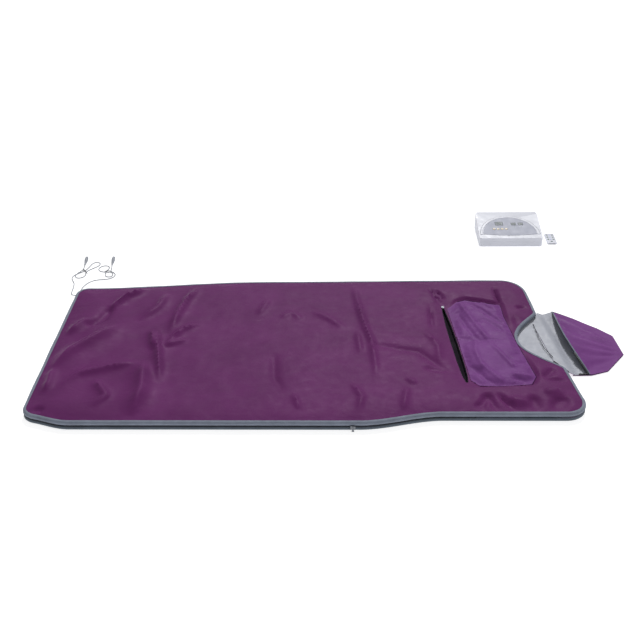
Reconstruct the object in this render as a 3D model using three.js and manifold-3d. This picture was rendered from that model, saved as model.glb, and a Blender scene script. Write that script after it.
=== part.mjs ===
// Infrared sauna blanket: a zipped, heated two-layer blanket with a hood and an arm pouch,
// its two heater leads, its two-zone controller box and its card remote.
// Millimetres, +Z up. +X runs from the feet to the head, +Y to the side where the cover folds back.
// The origin is on the floor, under the middle of the base.

import * as THREE from "three";
import { mergeVertices } from "three/addons/utils/BufferGeometryUtils.js";
import Module from "manifold-3d";

const wasm = await Module();
wasm.setup();

// ---------------------------------------------------------------- driving dimensions

const GAP = 0.3; // clearance between pieces that touch

// blanket body
const BODY_LENGTH = 1790; // foot edge to head edge
const BODY_WIDTH = 800; // at the foot corners
const NEAR_BOW = { out: 38, from: -740, to: 180, head: -8, headFrom: 450 }; // near edge, beyond the width
const FAR_BOW = { out: 46, from: -180, head: 54, headFrom: 700 }; // far edge, beyond the width
const FOOT_X = -900; // foot edge
const HEAD_X = FOOT_X + BODY_LENGTH;
const FOOT_CORNER_R = 40;
const HEAD_CORNER_R = 75;
const SHELL_T = 2.4; // coated outer fabric with its backing
const BASE_FILL_T = 4; // cotton insulation in the base
const COVER_FILL_T = 6; // cotton insulation in the cover
const HEATER_T = 1.7; // heater wire quilted between two webs
const LINING_T = 2.1; // washable lining
const SLEEPING_GAP = 5.6; // air between the two linings when nobody is inside
const BINDING_T = 4; // binding strip folded round the edges
const ZIP_TAPE_T = 2.2;
const ZIP_TAPE_W = 8;
const ZIP_START_X = HEAD_X - 340; // the zip runs from here to the foot and across it
const ZIP_FOOT_END_Y = BODY_WIDTH / 2 - 60;
const SLIDER_X = 160; // where the slider rests

// neck cut-out in the cover
const NECK_DEPTH = 118;
const NECK_HALF_WIDTH = 170;
const NECK_CENTRE_Y = 22;
const NECK_POWER = 1.3;

// arm slit in the cover
const SLIT_FAR = [HEAD_X - 390, 262];
const SLIT_NEAR = [HEAD_X - 350, -226];
const SLIT_W = 24;
const ARM_TAPE_W = 6;
const ARM_TAPE_T = 1.2;
const POUCH_FABRIC_T = 1.5;
const POUCH_RISE = 13; // height of the pouch's upper panel above its rim

// hood
const HOOD_ROOT_X = HEAD_X - 68; // seam of the hood's lining on the base's lining
const HOOD_FABRIC_T = 2.6;
const HOOD_RISE = 34; // height of the mouth's arch
const HOOD_FLOOR_LIFT = 0.3;

// heater leads
const LEAD_D = 3.6;
const GLAND_LENGTH = 18;
const GLAND_R = 4.2;
const GLAND_Z = 5.5;
const LEFT_GLAND_DEG = 155;
const RIGHT_GLAND_DEG = 125;
const PLUG_LENGTH = 62;
const PLUG_R = 7.2;

// controller
const BOX_PLACE = [HEAD_X - 185, BODY_WIDTH / 2 + 390]; // front left corner on the floor
const BOX_W = 265;
const BOX_D = 190;
const BOX_FRONT_H = 42;
const BOX_REAR_H = 72;
const BOX_CORNER_R = 12;
const BOX_WALL = 2.5;
const BOX_SPLIT_Z = 24; // top edge of the bottom case
const BOX_FOOT_H = 3;
const BOX_FOOT_R = 7;
const BOX_FOOT_INSET = 22;
const PANEL_T = 0.8;
const KEY_DIAGONAL = 14;
const KEY_TRAVEL = 1.2;
const BOARD_T = 1.6;
const BOARD_DEPTH = 9; // display board's underside below the face

// remote
const REMOTE_PLACE = [HEAD_X + 126, BODY_WIDTH / 2 + 412]; // middle of its front end
const REMOTE_W = 40;
const REMOTE_L = 86;
const REMOTE_BACK_T = 3.9;
const REMOTE_FRONT_T = 2.8;
const REMOTE_WALL = 0.8;
const REMOTE_CORNER_R = 4;
const REMOTE_KEY_R = 4.5;
const REMOTE_KEY_PROUD = 0.7;
const CELL_R = 10;
const CELL_T = 2.3;

// ---------------------------------------------------------------- materials

const material = (color, roughness, metalness = 0) =>
  new THREE.MeshStandardMaterial({ color, roughness, metalness });

const plum = material(0x5e3262, 0.55);
const violet = material(0x7c4a8c, 0.6);
const bindingGrey = material(0x7f8c94, 0.7);
const liningGrey = material(0xaeb7bd, 0.75);
const wadding = material(0xf0efe8, 0.95);
const heaterWeb = material(0x4a4e52, 0.8);
const zipNylon = material(0x3c4248, 0.6);
const zipMetal = material(0x8a8d90, 0.35, 0.9);
const leadGrey = material(0x8d9196, 0.5);
const whiteShell = material(0xe4e6f0, 0.4);
const panelBlue = material(0xbec3d2, 0.4);
const displayWindow = material(0x9fa4a6, 0.2);
const goldKey = material(0xb59b62, 0.45);
const boardGreen = material(0x2f6b45, 0.6);
const copper = material(0x9a5a32, 0.5, 0.6);
const blackPlastic = material(0x202225, 0.5);
const blueKey = material(0x3c64aa, 0.45);
const redKey = material(0x7a3a40, 0.45);
const steel = material(0xb8babd, 0.3, 1);

// ---------------------------------------------------------------- geometry helpers

const object = new THREE.Group();

function add(name, geometry, look, parent = object) {
  const mesh = new THREE.Mesh(geometry, look);
  mesh.name = name;
  parent.add(mesh);
  return mesh;
}

function arc(cx, cy, r, fromDeg, toDeg, steps) {
  const points = [];
  for (let i = 0; i <= steps; i += 1) {
    const a = THREE.MathUtils.degToRad(fromDeg + ((toDeg - fromDeg) * i) / steps);
    points.push([cx + r * Math.cos(a), cy + r * Math.sin(a)]);
  }
  return points;
}

// Moves each point of a clockwise outline outwards by d along the mean of its two edges' normals.
function offset(points, d) {
  return points.map((p, i) => {
    const a = points[(i + points.length - 1) % points.length];
    const b = points[(i + 1) % points.length];
    const n1 = new THREE.Vector2(-(p[1] - a[1]), p[0] - a[0]).normalize();
    const n2 = new THREE.Vector2(-(b[1] - p[1]), b[0] - p[0]).normalize();
    const n = n1.clone().add(n2).normalize();
    const reach = d / Math.max(0.5, n.dot(n1));
    return [p[0] + n.x * reach, p[1] + n.y * reach];
  });
}

// An outline as a path that runs anticlockwise, or clockwise where it bounds a hole.
function wound(points, clockwise) {
  const path = points.map(([x, y]) => new THREE.Vector2(x, y));
  return THREE.ShapeUtils.isClockWise(path) === clockwise ? path : path.reverse();
}

function shapeOf(points, holes = []) {
  const shape = new THREE.Shape(wound(points, false));
  shape.holes = holes.map((hole) => new THREE.Path(wound(hole, true)));
  return shape;
}

function slab(points, z0, z1, holes = []) {
  const settings = { depth: z1 - z0, bevelEnabled: false };
  return new THREE.ExtrudeGeometry(shapeOf(points, holes), settings).translate(0, 0, z0);
}

function block(x0, y0, z0, x1, y1, z1) {
  const box = new THREE.BoxGeometry(x1 - x0, y1 - y0, z1 - z0);
  return box.translate((x0 + x1) / 2, (y0 + y1) / 2, (z0 + z1) / 2);
}

function disc(x, y, z0, z1, r, sides = 24) {
  const cylinder = new THREE.CylinderGeometry(r, r, z1 - z0, sides);
  return cylinder.rotateX(Math.PI / 2).translate(x, y, (z0 + z1) / 2);
}

function solid(geometry) {
  const bare = geometry.clone();
  bare.deleteAttribute("normal");
  bare.deleteAttribute("uv");
  const merged = mergeVertices(bare, 1e-4);
  const vertProperties = new Float32Array(merged.attributes.position.array);
  const triVerts = new Uint32Array(merged.index.array);
  return new wasm.Manifold(new wasm.Mesh({ numProp: 3, vertProperties, triVerts }));
}

function geometryOf(manifold) {
  const mesh = manifold.getMesh();
  const geometry = new THREE.BufferGeometry();
  geometry.setAttribute("position", new THREE.BufferAttribute(mesh.vertProperties, 3));
  geometry.setIndex(new THREE.BufferAttribute(mesh.triVerts, 1));
  geometry.computeVertexNormals();
  return geometry;
}

function cut(geometry, ...tools) {
  return geometryOf(tools.reduce((body, tool) => body.subtract(solid(tool)), solid(geometry)));
}

function join(geometry, ...others) {
  return geometryOf(others.reduce((body, other) => body.add(solid(other)), solid(geometry)));
}

// A closed panel over a plan outline: rings of points shrink to a centre, and heights come from
// topAt(x, y, t), where t runs from 0 on the outline to 1 at the centre. It is `thick` deep.
function panel(outline, centre, rings, thick, topAt) {
  const n = outline.length;
  const positions = [];
  const ringPoint = (r, i) => {
    const t = r / rings;
    const x = outline[i][0] + (centre[0] - outline[i][0]) * t;
    const y = outline[i][1] + (centre[1] - outline[i][1]) * t;
    return [x, y, topAt(x, y, t, i)];
  };
  for (const drop of [0, thick]) {
    for (let r = 0; r < rings; r += 1) {
      for (let i = 0; i < n; i += 1) {
        const [x, y, z] = ringPoint(r, i);
        positions.push(x, y, z - drop);
      }
    }
    const [x, y, z] = ringPoint(rings, 0);
    positions.push(x, y, z - drop);
  }
  const layer = rings * n + 1;
  const index = [];
  for (const [base, flip] of [[0, false], [layer, true]]) {
    const face = (a, b, c) => (flip ? index.push(a, c, b) : index.push(a, b, c));
    for (let i = 0; i < n; i += 1) {
      const j = (i + 1) % n;
      for (let r = 0; r + 1 < rings; r += 1) {
        const a = base + r * n;
        const b = a + n;
        face(a + j, a + i, b + i);
        face(a + j, b + i, b + j);
      }
      const last = base + (rings - 1) * n;
      face(last + j, last + i, base + rings * n);
    }
  }
  for (let i = 0; i < n; i += 1) {
    const j = (i + 1) % n;
    index.push(i, j, layer + j, i, layer + j, layer + i);
  }
  const geometry = new THREE.BufferGeometry();
  geometry.setAttribute("position", new THREE.Float32BufferAttribute(positions, 3));
  geometry.setIndex(index);
  return geometry;
}

// Splits each edge of a line of points into pieces no longer than `step`.
function subdivide(points, step) {
  const out = [points[0]];
  for (let i = 1; i < points.length; i += 1) {
    const [p, q] = [points[i - 1], points[i]];
    const count = Math.ceil(Math.hypot(q[0] - p[0], q[1] - p[1]) / step);
    for (let k = 1; k <= count; k += 1) {
      out.push([p[0] + ((q[0] - p[0]) * k) / count, p[1] + ((q[1] - p[1]) * k) / count]);
    }
  }
  return out;
}

// ---------------------------------------------------------------- blanket outlines

const HALF_W = BODY_WIDTH / 2;
const EDGE_STEP = 60; // spacing of points along the bowed edges
const HEAD_SKEW = { back: 25, slope: 0.117, from: HEAD_X - 300, to: HEAD_X - 100 };
const { smoothstep } = THREE.MathUtils;

// How far the long edges bulge: the flat cut spreads in the middle and is drawn in at the head.
function nearBow(x) {
  const { out, from, to, head, headFrom } = NEAR_BOW;
  const rise = out * smoothstep(x, FOOT_X, from);
  return rise + (head - out) * smoothstep(x, to, headFrom);
}

function farBow(x) {
  const { out, from, head, headFrom } = FAR_BOW;
  const start = FOOT_X + FOOT_CORNER_R;
  return out * smoothstep(x, start, from) + (head - out) * smoothstep(x, from, headFrom);
}

// Spreads a point of the straight plan sideways by the bow of the long edge on its side,
// and draws the head edge back, its far end the most.
function bowed([x, y]) {
  const { back, slope, from, to } = HEAD_SKEW;
  const wide = y + (y < 0 ? nearBow(x) : farBow(x)) * (y / HALF_W);
  return [x - smoothstep(x, from, to) * (back + slope * y), wide];
}

// The outlines run clockwise: near edge to the foot, foot edge, far edge to the head, head edge.
function bodyOutline(headEdge) {
  const footX = FOOT_X + FOOT_CORNER_R;
  const headX = HEAD_X - HEAD_CORNER_R;
  const footY = HALF_W - FOOT_CORNER_R;
  const headY = HALF_W - HEAD_CORNER_R;
  const far = subdivide([[footX, HALF_W], [headX, HALF_W]], EDGE_STEP).slice(1, -1);
  const near = subdivide([[headX, -HALF_W], [footX, -HALF_W]], EDGE_STEP).slice(1, -1);
  const straight = [
    ...arc(footX, -footY, FOOT_CORNER_R, 270, 180, 6),
    ...arc(footX, footY, FOOT_CORNER_R, 180, 90, 6),
    ...far,
    ...arc(headX, headY, HEAD_CORNER_R, 90, 0, 8),
    ...headEdge,
    ...arc(headX, -headY, HEAD_CORNER_R, 0, -90, 8),
    ...near,
  ];
  return straight.map(bowed);
}

function neckEdge() {
  const points = [];
  const steps = 24;
  for (let i = 1; i < steps; i += 1) {
    const u = 1 - (2 * i) / steps;
    const depth = NECK_DEPTH * (1 - u * u) ** NECK_POWER;
    points.push([HEAD_X - depth, NECK_CENTRE_Y + u * NECK_HALF_WIDTH]);
  }
  return points;
}

const baseOutline = bodyOutline([]);
const coverOutline = bodyOutline(neckEdge());

// ---------------------------------------------------------------- base

const BASE_FILL_Z = SHELL_T + GAP;
const BASE_HEATER_Z = BASE_FILL_Z + BASE_FILL_T + GAP;
const BASE_LINING_Z = BASE_HEATER_Z + HEATER_T + GAP;
const BASE_TOP_Z = BASE_LINING_Z + LINING_T;
const THERMOSTAT = { x: FOOT_X + 340, y: 150, r: 12, h: 3.4 };

function thermostatPocket(fillZ, fillT) {
  const { x, y, r } = THERMOSTAT;
  return disc(x, y, fillZ - 1, fillZ + fillT + 1, r + GAP, 20);
}

function buildBase() {
  add("base_outer_shell", slab(baseOutline, 0, SHELL_T), plum);
  const fill = slab(baseOutline, BASE_FILL_Z, BASE_FILL_Z + BASE_FILL_T);
  add("base_insulation", cut(fill, thermostatPocket(BASE_FILL_Z, BASE_FILL_T)), wadding);
  const { x, y, r, h } = THERMOSTAT;
  add("base_thermostat", disc(x, y, BASE_FILL_Z, BASE_FILL_Z + h, r, 20), blackPlastic);
  const heater = offset(baseOutline, -18);
  add("base_heating_layer", slab(heater, BASE_HEATER_Z, BASE_HEATER_Z + HEATER_T), heaterWeb);
  add("base_lining", slab(baseOutline, BASE_LINING_Z, BASE_TOP_Z), liningGrey);
  const rim = slab(offset(baseOutline, BINDING_T), 0, BASE_TOP_Z, [offset(baseOutline, GAP)]);
  add("base_binding", rim, bindingGrey);
}

// ---------------------------------------------------------------- cover

const COVER_BOTTOM_Z = BASE_TOP_Z + SLEEPING_GAP;
const COVER_HEATER_Z = COVER_BOTTOM_Z + LINING_T + GAP;
const COVER_FILL_Z = COVER_HEATER_Z + HEATER_T + GAP;
const COVER_SHELL_Z = COVER_FILL_Z + COVER_FILL_T + GAP;
const COVER_TOP_Z = COVER_SHELL_Z + SHELL_T;

const slitDirection = new THREE.Vector2(
  SLIT_NEAR[0] - SLIT_FAR[0],
  SLIT_NEAR[1] - SLIT_FAR[1],
).normalize();
const SLIT_LENGTH = Math.hypot(SLIT_NEAR[0] - SLIT_FAR[0], SLIT_NEAR[1] - SLIT_FAR[1]);

// A point `along` the slit from its far end and `across` it towards the head.
function slitPoint(along, across) {
  const d = slitDirection;
  return [SLIT_FAR[0] + d.x * along - d.y * across, SLIT_FAR[1] + d.y * along + d.x * across];
}

function slitRectangle(along0, along1, across0, across1) {
  return [
    slitPoint(along0, across0),
    slitPoint(along0, across1),
    slitPoint(along1, across1),
    slitPoint(along1, across0),
  ];
}

const slitHole = slitRectangle(0, SLIT_LENGTH, -SLIT_W / 2, SLIT_W / 2);
const slitHoleWide = slitRectangle(-18, SLIT_LENGTH + 18, -SLIT_W / 2 - 18, SLIT_W / 2 + 18);

function buildCover() {
  const lining = slab(coverOutline, COVER_BOTTOM_Z, COVER_BOTTOM_Z + LINING_T, [slitHole]);
  add("cover_lining", lining, liningGrey);
  const heaterEdge = offset(coverOutline, -18);
  const heater = slab(heaterEdge, COVER_HEATER_Z, COVER_HEATER_Z + HEATER_T, [slitHoleWide]);
  add("cover_heating_layer", heater, heaterWeb);
  const fill = slab(coverOutline, COVER_FILL_Z, COVER_FILL_Z + COVER_FILL_T, [slitHole]);
  add("cover_insulation", cut(fill, thermostatPocket(COVER_FILL_Z, COVER_FILL_T)), wadding);
  const { x, y, r, h } = THERMOSTAT;
  add("cover_thermostat", disc(x, y, COVER_FILL_Z, COVER_FILL_Z + h, r, 20), blackPlastic);
  add("cover_outer_shell", slab(coverOutline, COVER_SHELL_Z, COVER_TOP_Z, [slitHole]), plum);
  const rimHole = offset(coverOutline, GAP);
  const rim = slab(offset(coverOutline, BINDING_T), COVER_BOTTOM_Z, COVER_TOP_Z, [rimHole]);
  add("cover_binding", rim, bindingGrey);
}

// ---------------------------------------------------------------- main zip

// An L-shaped strip along the near edge and the foot edge, between two insets from the outline.
function zipStrip(outerInset, innerInset) {
  const footX = FOOT_X + FOOT_CORNER_R;
  const footY = HALF_W - FOOT_CORNER_R;
  const line = (inset) => [
    ...subdivide([[ZIP_START_X, -HALF_W + inset], [footX, -HALF_W + inset]], EDGE_STEP / 2),
    ...arc(footX, -footY, FOOT_CORNER_R - inset, 270, 180, 8).slice(1),
    [FOOT_X + inset, ZIP_FOOT_END_Y],
  ];
  return [...line(outerInset), ...line(innerInset).reverse()].map(bowed);
}

const BASE_ZIP_Z = BASE_TOP_Z + GAP;
const COVER_ZIP_Z = COVER_BOTTOM_Z - GAP - ZIP_TAPE_T;
const SLIDER = { length: 16, depth: 5, height: 13 };

function buildMainZip() {
  const strip = zipStrip(1, 1 + ZIP_TAPE_W);
  add("base_zip_tape", slab(strip, BASE_ZIP_Z, BASE_ZIP_Z + ZIP_TAPE_T), zipNylon);
  add("cover_zip_tape", slab(strip, COVER_ZIP_Z, COVER_ZIP_Z + ZIP_TAPE_T), zipNylon);
  const y1 = -HALF_W - NEAR_BOW.out - BINDING_T - GAP;
  const y0 = y1 - SLIDER.depth;
  const zMid = (BASE_TOP_Z + COVER_BOTTOM_Z) / 2;
  const z0 = zMid - SLIDER.height / 2;
  const z1 = zMid + SLIDER.height / 2;
  const half = SLIDER.length / 2;
  add("zip_slider", block(SLIDER_X - half, y0, z0, SLIDER_X + half, y1, z1), zipMetal);
  const pullTop = z1 - 2;
  const pull = block(SLIDER_X - 4, y0 - GAP - 1.6, 2, SLIDER_X + 4, y0 - GAP, pullTop);
  add("zip_pull", pull, zipMetal);
}

// ---------------------------------------------------------------- arm slit zip and pouch

const ARM_TAPE_Z = COVER_TOP_Z + GAP;
const ARM_TAPE_TOP = ARM_TAPE_Z + ARM_TAPE_T;

function buildArmSlit() {
  const inner = SLIT_W / 2;
  const outer = inner + ARM_TAPE_W;
  const edge = slitRectangle(-ARM_TAPE_W, SLIT_LENGTH + ARM_TAPE_W, -outer, outer);
  add("arm_zip_tape", slab(edge, ARM_TAPE_Z, ARM_TAPE_TOP, [slitHole]), zipNylon);
  const slider = slitRectangle(6, 22, -inner - 1, inner + 1);
  add("arm_zip_slider", slab(slider, ARM_TAPE_TOP + GAP, ARM_TAPE_TOP + GAP + 2.4), zipMetal);
}

const POUCH_SEAM = SLIT_W / 2 + ARM_TAPE_W + 4; // across the slit, towards the head
const POUCH_MOUTH_ALONG = 26;

// The pouch's free edge, from its near mouth corner round to its far mouth corner.
const POUCH_EDGE = [
  [-310, -249],
  [-238, -252],
  [-139, -241],
  [-118, -197],
  [-151, 6],
  [-172, 184],
  [-174, 262],
  [-302, 300],
  [-332, 288],
].map(([fromHead, y]) => [HEAD_X + fromHead, y]);
const POUCH_CENTRE = [HEAD_X - 242, 16];

function pouchOutline() {
  const near = slitPoint(SLIT_LENGTH - 8, POUCH_SEAM);
  const far = slitPoint(POUCH_MOUTH_ALONG, POUCH_SEAM);
  return subdivide([far, ...[...POUCH_EDGE].reverse(), near], 60);
}

function buildPouch() {
  const outline = pouchOutline();
  const z0 = COVER_TOP_Z + GAP;
  add("pouch_back_panel", slab(outline, z0, z0 + POUCH_FABRIC_T), violet);
  const seat = z0 + 2 * POUCH_FABRIC_T + GAP;
  const dome = (x, y, t) => seat + POUCH_RISE * (1 - (1 - t) ** 2);
  add("pouch_front_panel", panel(outline, POUCH_CENTRE, 4, POUCH_FABRIC_T, dome), violet);
}

// ---------------------------------------------------------------- hood

const HOOD_FLAT_X = HEAD_X + BINDING_T + 12;
const HOOD_EDGE = [
  [0, 246],
  [72, 200],
  [146, 143],
  [190, 92],
  [200, -26],
  [124, -125],
  [64, -148],
  [0, -150],
].map(([beyond, y]) => [HOOD_FLAT_X + beyond, y]);
const HOOD_MOUTH_FAR = [HOOD_FLAT_X + 2, 240];
const HOOD_MOUTH_NEAR = [HOOD_FLAT_X + 57, -145];
const HOOD_MOUTH_MIDDLE = [HOOD_FLAT_X + 8, 38];
const HOOD_CENTRE = [HOOD_FLAT_X + 85, 34];

function hoodMouth(steps) {
  const middle = new THREE.Vector2(...HOOD_MOUTH_MIDDLE);
  const near = new THREE.Vector2(...HOOD_MOUTH_NEAR);
  const far = new THREE.Vector2(...HOOD_MOUTH_FAR);
  const control = middle.multiplyScalar(2).sub(near.clone().add(far).multiplyScalar(0.5));
  const curve = new THREE.QuadraticBezierCurve(near, control, far);
  return curve.getPoints(steps).map((p) => [p.x, p.y]);
}

function buildHood() {
  const rootOutline = [
    [HOOD_ROOT_X, 146],
    [HEAD_X, 240],
    [HEAD_X, -146],
    [HOOD_ROOT_X + 30, -76],
  ];
  const rootZ = BASE_TOP_Z + GAP;
  add("hood_root_panel", slab(rootOutline, rootZ, rootZ + HOOD_FABRIC_T), liningGrey);
  const backTop = HOOD_FLOOR_LIFT + HOOD_FABRIC_T;
  add("hood_back_panel", slab(HOOD_EDGE, HOOD_FLOOR_LIFT, backTop), liningGrey);
  const mouthSteps = 12;
  const mouth = hoodMouth(mouthSteps);
  const outer = subdivide(HOOD_EDGE.slice(1, -2), 50);
  const outline = [...mouth, ...outer];
  const seat = backTop + HOOD_FABRIC_T + GAP;
  const crown = seat + HOOD_RISE;
  const rim = outline.map((_, i) =>
    i <= mouthSteps ? seat + HOOD_RISE * Math.sin((Math.PI * i) / mouthSteps) : seat,
  );
  const height = (x, y, t, i) => rim[i] + (crown - rim[i]) * (1 - (1 - t) ** 2);
  add("hood_top_panel", panel(outline, HOOD_CENTRE, 5, HOOD_FABRIC_T, height), violet);
}

// ---------------------------------------------------------------- heater leads

function tube(points, diameter) {
  const curve = new THREE.CatmullRomCurve3(points.map((p) => new THREE.Vector3(...p)));
  const steps = Math.min(80, Math.round(curve.getLength() / (2.2 * diameter)));
  const section = new THREE.Shape();
  section.absarc(0, 0, diameter / 2, 0, 2 * Math.PI);
  return new THREE.ExtrudeGeometry(section, { steps, curveSegments: 8, extrudePath: curve });
}

// A body of revolution whose axis starts at `start` and runs along `direction`.
function turned(profile, start, direction, sides = 16) {
  const lathe = new THREE.LatheGeometry(profile.map(([r, h]) => new THREE.Vector2(r, h)), sides);
  const up = new THREE.Vector3(0, 1, 0);
  const axis = new THREE.Vector3(...direction).normalize();
  const turn = new THREE.Quaternion().setFromUnitVectors(up, axis);
  return lathe.applyQuaternion(turn).translate(...start);
}

function glandExit(deg) {
  const a = THREE.MathUtils.degToRad(deg);
  const r = FOOT_CORNER_R + BINDING_T + GAP;
  const cx = FOOT_X + FOOT_CORNER_R;
  const cy = HALF_W - FOOT_CORNER_R;
  return {
    start: [cx + r * Math.cos(a), cy + r * Math.sin(a), GLAND_Z],
    direction: [Math.cos(a), Math.sin(a), 0],
  };
}

const FLOOR_Z = LEAD_D / 2 + 0.1;
const OVER_Z = FLOOR_Z + LEAD_D + GAP;

// Each route starts at its gland's tip and ends at its plug.
const LEFT_ROUTE = [
  [-929, 392, 4.6],
  [-937, 403, 3.2],
  [-940, 425, FLOOR_Z],
  [-942, 458, FLOOR_Z],
  [-948, 490, FLOOR_Z],
  [-960, 514, FLOOR_Z],
  [-966, 534, FLOOR_Z],
  [-962, 552, FLOOR_Z],
  [-950, 568, FLOOR_Z],
  [-937, 580, FLOOR_Z],
  [-925, 596, FLOOR_Z],
  [-918, 616, FLOOR_Z],
  [-913, 638, FLOOR_Z],
  [-907, 655, FLOOR_Z],
  [-893, 663, FLOOR_Z],
  [-879, 655, FLOOR_Z],
  [-877, 640, FLOOR_Z],
  [-886, 624, FLOOR_Z],
  [-901, 608, FLOOR_Z],
  [-914, 592, FLOOR_Z],
  [-919, 574, FLOOR_Z],
  [-917, 555, FLOOR_Z],
  [-923, 539, FLOOR_Z],
  [-937, 531, FLOOR_Z],
  [-950, 536, FLOOR_Z],
  [-956, 549, FLOOR_Z + 1.4],
  [-949, 564, OVER_Z],
  [-941, 580, OVER_Z],
  [-937, 597, FLOOR_Z + 1.4],
  [-937, 616, FLOOR_Z],
  [-938, 636, 4],
];
const LEFT_PLUG_TIP = [-941, 703];

const RIGHT_ROUTE = [
  [-901, 418, 4.6],
  [-905, 430, 3.2],
  [-905, 450, FLOOR_Z],
  [-900, 472, FLOOR_Z],
  [-890, 492, FLOOR_Z],
  [-875, 508, FLOOR_Z],
  [-854, 516, FLOOR_Z],
  [-831, 519, FLOOR_Z],
  [-811, 526, FLOOR_Z],
  [-798, 541, FLOOR_Z],
  [-796, 558, FLOOR_Z],
  [-804, 572, FLOOR_Z],
  [-820, 579, FLOOR_Z],
  [-839, 580, FLOOR_Z],
  [-857, 584, FLOOR_Z],
  [-870, 596, FLOOR_Z],
  [-873, 613, FLOOR_Z],
  [-864, 628, FLOOR_Z],
  [-848, 633, FLOOR_Z],
  [-835, 625, FLOOR_Z],
  [-831, 609, FLOOR_Z + 0.8],
  [-833, 593, OVER_Z - 0.6],
  [-835, 579, OVER_Z],
  [-837, 564, FLOOR_Z + 1.8],
  [-834, 549, FLOOR_Z],
  [-822, 540, FLOOR_Z],
  [-809, 544, FLOOR_Z],
  [-806, 557, FLOOR_Z + 1.4],
  [-811, 570, OVER_Z - 0.6],
  [-817, 581, OVER_Z],
  [-820, 598, FLOOR_Z + 1.8],
  [-822, 616, FLOOR_Z],
  [-825, 636, 4],
];
const RIGHT_PLUG_TIP = [-832, 702];

const GLAND_PROFILE = [
  [0, 0],
  [GLAND_R, 0],
  [GLAND_R, 4],
  [LEAD_D / 2 + 0.5, GLAND_LENGTH],
  [0, GLAND_LENGTH],
];
const PLUG_PROFILE = [
  [0, 0],
  [2.6, 0],
  [3.2, 8],
  [5.4, 24],
  [PLUG_R, 42],
  [PLUG_R - 0.6, 54],
  [4.6, PLUG_LENGTH],
  [0, PLUG_LENGTH],
];

function buildLead(side, deg, route, plugTip) {
  const { start, direction } = glandExit(deg);
  add(`lead_gland_${side}`, turned(GLAND_PROFILE, start, direction), leadGrey);
  const onAxis = (distance) => start.map((v, i) => v + direction[i] * distance);
  const first = [onAxis(GLAND_LENGTH + GAP + 0.3), onAxis(GLAND_LENGTH + 5)];
  add(`lead_${side}`, tube([...first, ...route], LEAD_D), leadGrey);
  const end = new THREE.Vector3(...route[route.length - 1]);
  const before = new THREE.Vector3(...route[route.length - 2]);
  const heading = end.clone().sub(before).normalize();
  const plugStart = end.clone().addScaledVector(heading, GAP + 0.3);
  const plugEnd = new THREE.Vector3(plugTip[0], plugTip[1], PLUG_R + 0.2);
  const axis = plugEnd.sub(plugStart).normalize();
  add(`lead_plug_${side}`, turned(PLUG_PROFILE, plugStart.toArray(), axis.toArray()), leadGrey);
}

// ---------------------------------------------------------------- controller

const box = new THREE.Group();
box.position.set(BOX_PLACE[0], BOX_PLACE[1], 0);
object.add(box);

const SLOPE = Math.atan((BOX_REAR_H - BOX_FRONT_H) / BOX_D);
const FACE_LENGTH = Math.hypot(BOX_D, BOX_REAR_H - BOX_FRONT_H);
const face = new THREE.Group(); // x across, y up the slope, z out of the face
face.position.set(0, 0, BOX_FRONT_H);
face.rotation.x = SLOPE;
box.add(face);

function roundedRectangle(x0, y0, x1, y1, r, steps = 5) {
  return [
    ...arc(x0 + r, y0 + r, r, 270, 180, steps),
    ...arc(x0 + r, y1 - r, r, 180, 90, steps),
    ...arc(x1 - r, y1 - r, r, 90, 0, steps),
    ...arc(x1 - r, y0 + r, r, 0, -90, steps),
  ];
}

// A block between z0 and a roof that slopes with the face, `drop` below it.
function wedge(inset, z0, drop) {
  const r = BOX_CORNER_R - inset;
  const outline = roundedRectangle(inset, inset, BOX_W - inset, BOX_D - inset, r);
  const geometry = slab(outline, z0, z0 + 1);
  const position = geometry.attributes.position;
  for (let i = 0; i < position.count; i += 1) {
    if (position.getZ(i) > z0 + 0.5) {
      const y = position.getY(i);
      position.setZ(i, BOX_FRONT_H + y * Math.tan(SLOPE) - drop);
    }
  }
  return geometry;
}

// Turns a tool built in the face's own coordinates into the box's coordinates.
function fromFace(geometry) {
  return geometry.clone().rotateX(SLOPE).translate(0, 0, BOX_FRONT_H);
}

function diamond(x, y, diagonal) {
  const h = diagonal / 2;
  return [[x - h, y], [x, y + h], [x + h, y], [x, y - h]];
}

function rectangle(x, y, w, h) {
  return [[x - w / 2, y - h / 2], [x - w / 2, y + h / 2], [x + w / 2, y + h / 2], [x + w / 2, y - h / 2]];
}

const PANEL = { left: 19.4, right: BOX_W - 21.2, base: 29, sag: 8.5, rise: 119 };
const PANEL_MIDDLE = (PANEL.left + PANEL.right) / 2;
const KEY_ROW_Y = 64.5;
const KEY_FIRST_X = PANEL_MIDDLE - 64.9;
const KEY_PITCH = KEY_DIAGONAL + 3.2;
const KEY_NAMES = ["key_power", "key_timer", "key_zone_one", "key_zone_two"];
const DISPLAYS = {
  time_display: { x: PANEL_MIDDLE - 40.2, y: 104, w: 31, h: 22 },
  zone_one_display: { x: PANEL_MIDDLE + 21.4, y: 101, w: 18.4, h: 15.6 },
  zone_two_display: { x: PANEL_MIDDLE + 51.1, y: 101, w: 18.4, h: 15.6 },
};
const LAMPS = [[PANEL_MIDDLE + 22.4, 80.5], [PANEL_MIDDLE + 51.8, 80.5]];
const LAMP_R = 2;

function panelOutline() {
  const cx = PANEL_MIDDLE;
  const half = (PANEL.right - PANEL.left) / 2;
  const points = [];
  const steps = 28;
  for (let i = 0; i <= steps; i += 1) {
    const a = Math.PI * (1 - i / steps);
    points.push([cx + half * Math.cos(a), PANEL.base + PANEL.rise * Math.sin(a)]);
  }
  for (let i = 1; i < 12; i += 1) {
    const u = 1 - i / 6;
    points.push([cx + half * u, PANEL.base - PANEL.sag * (1 - u * u)]);
  }
  return points;
}

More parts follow.
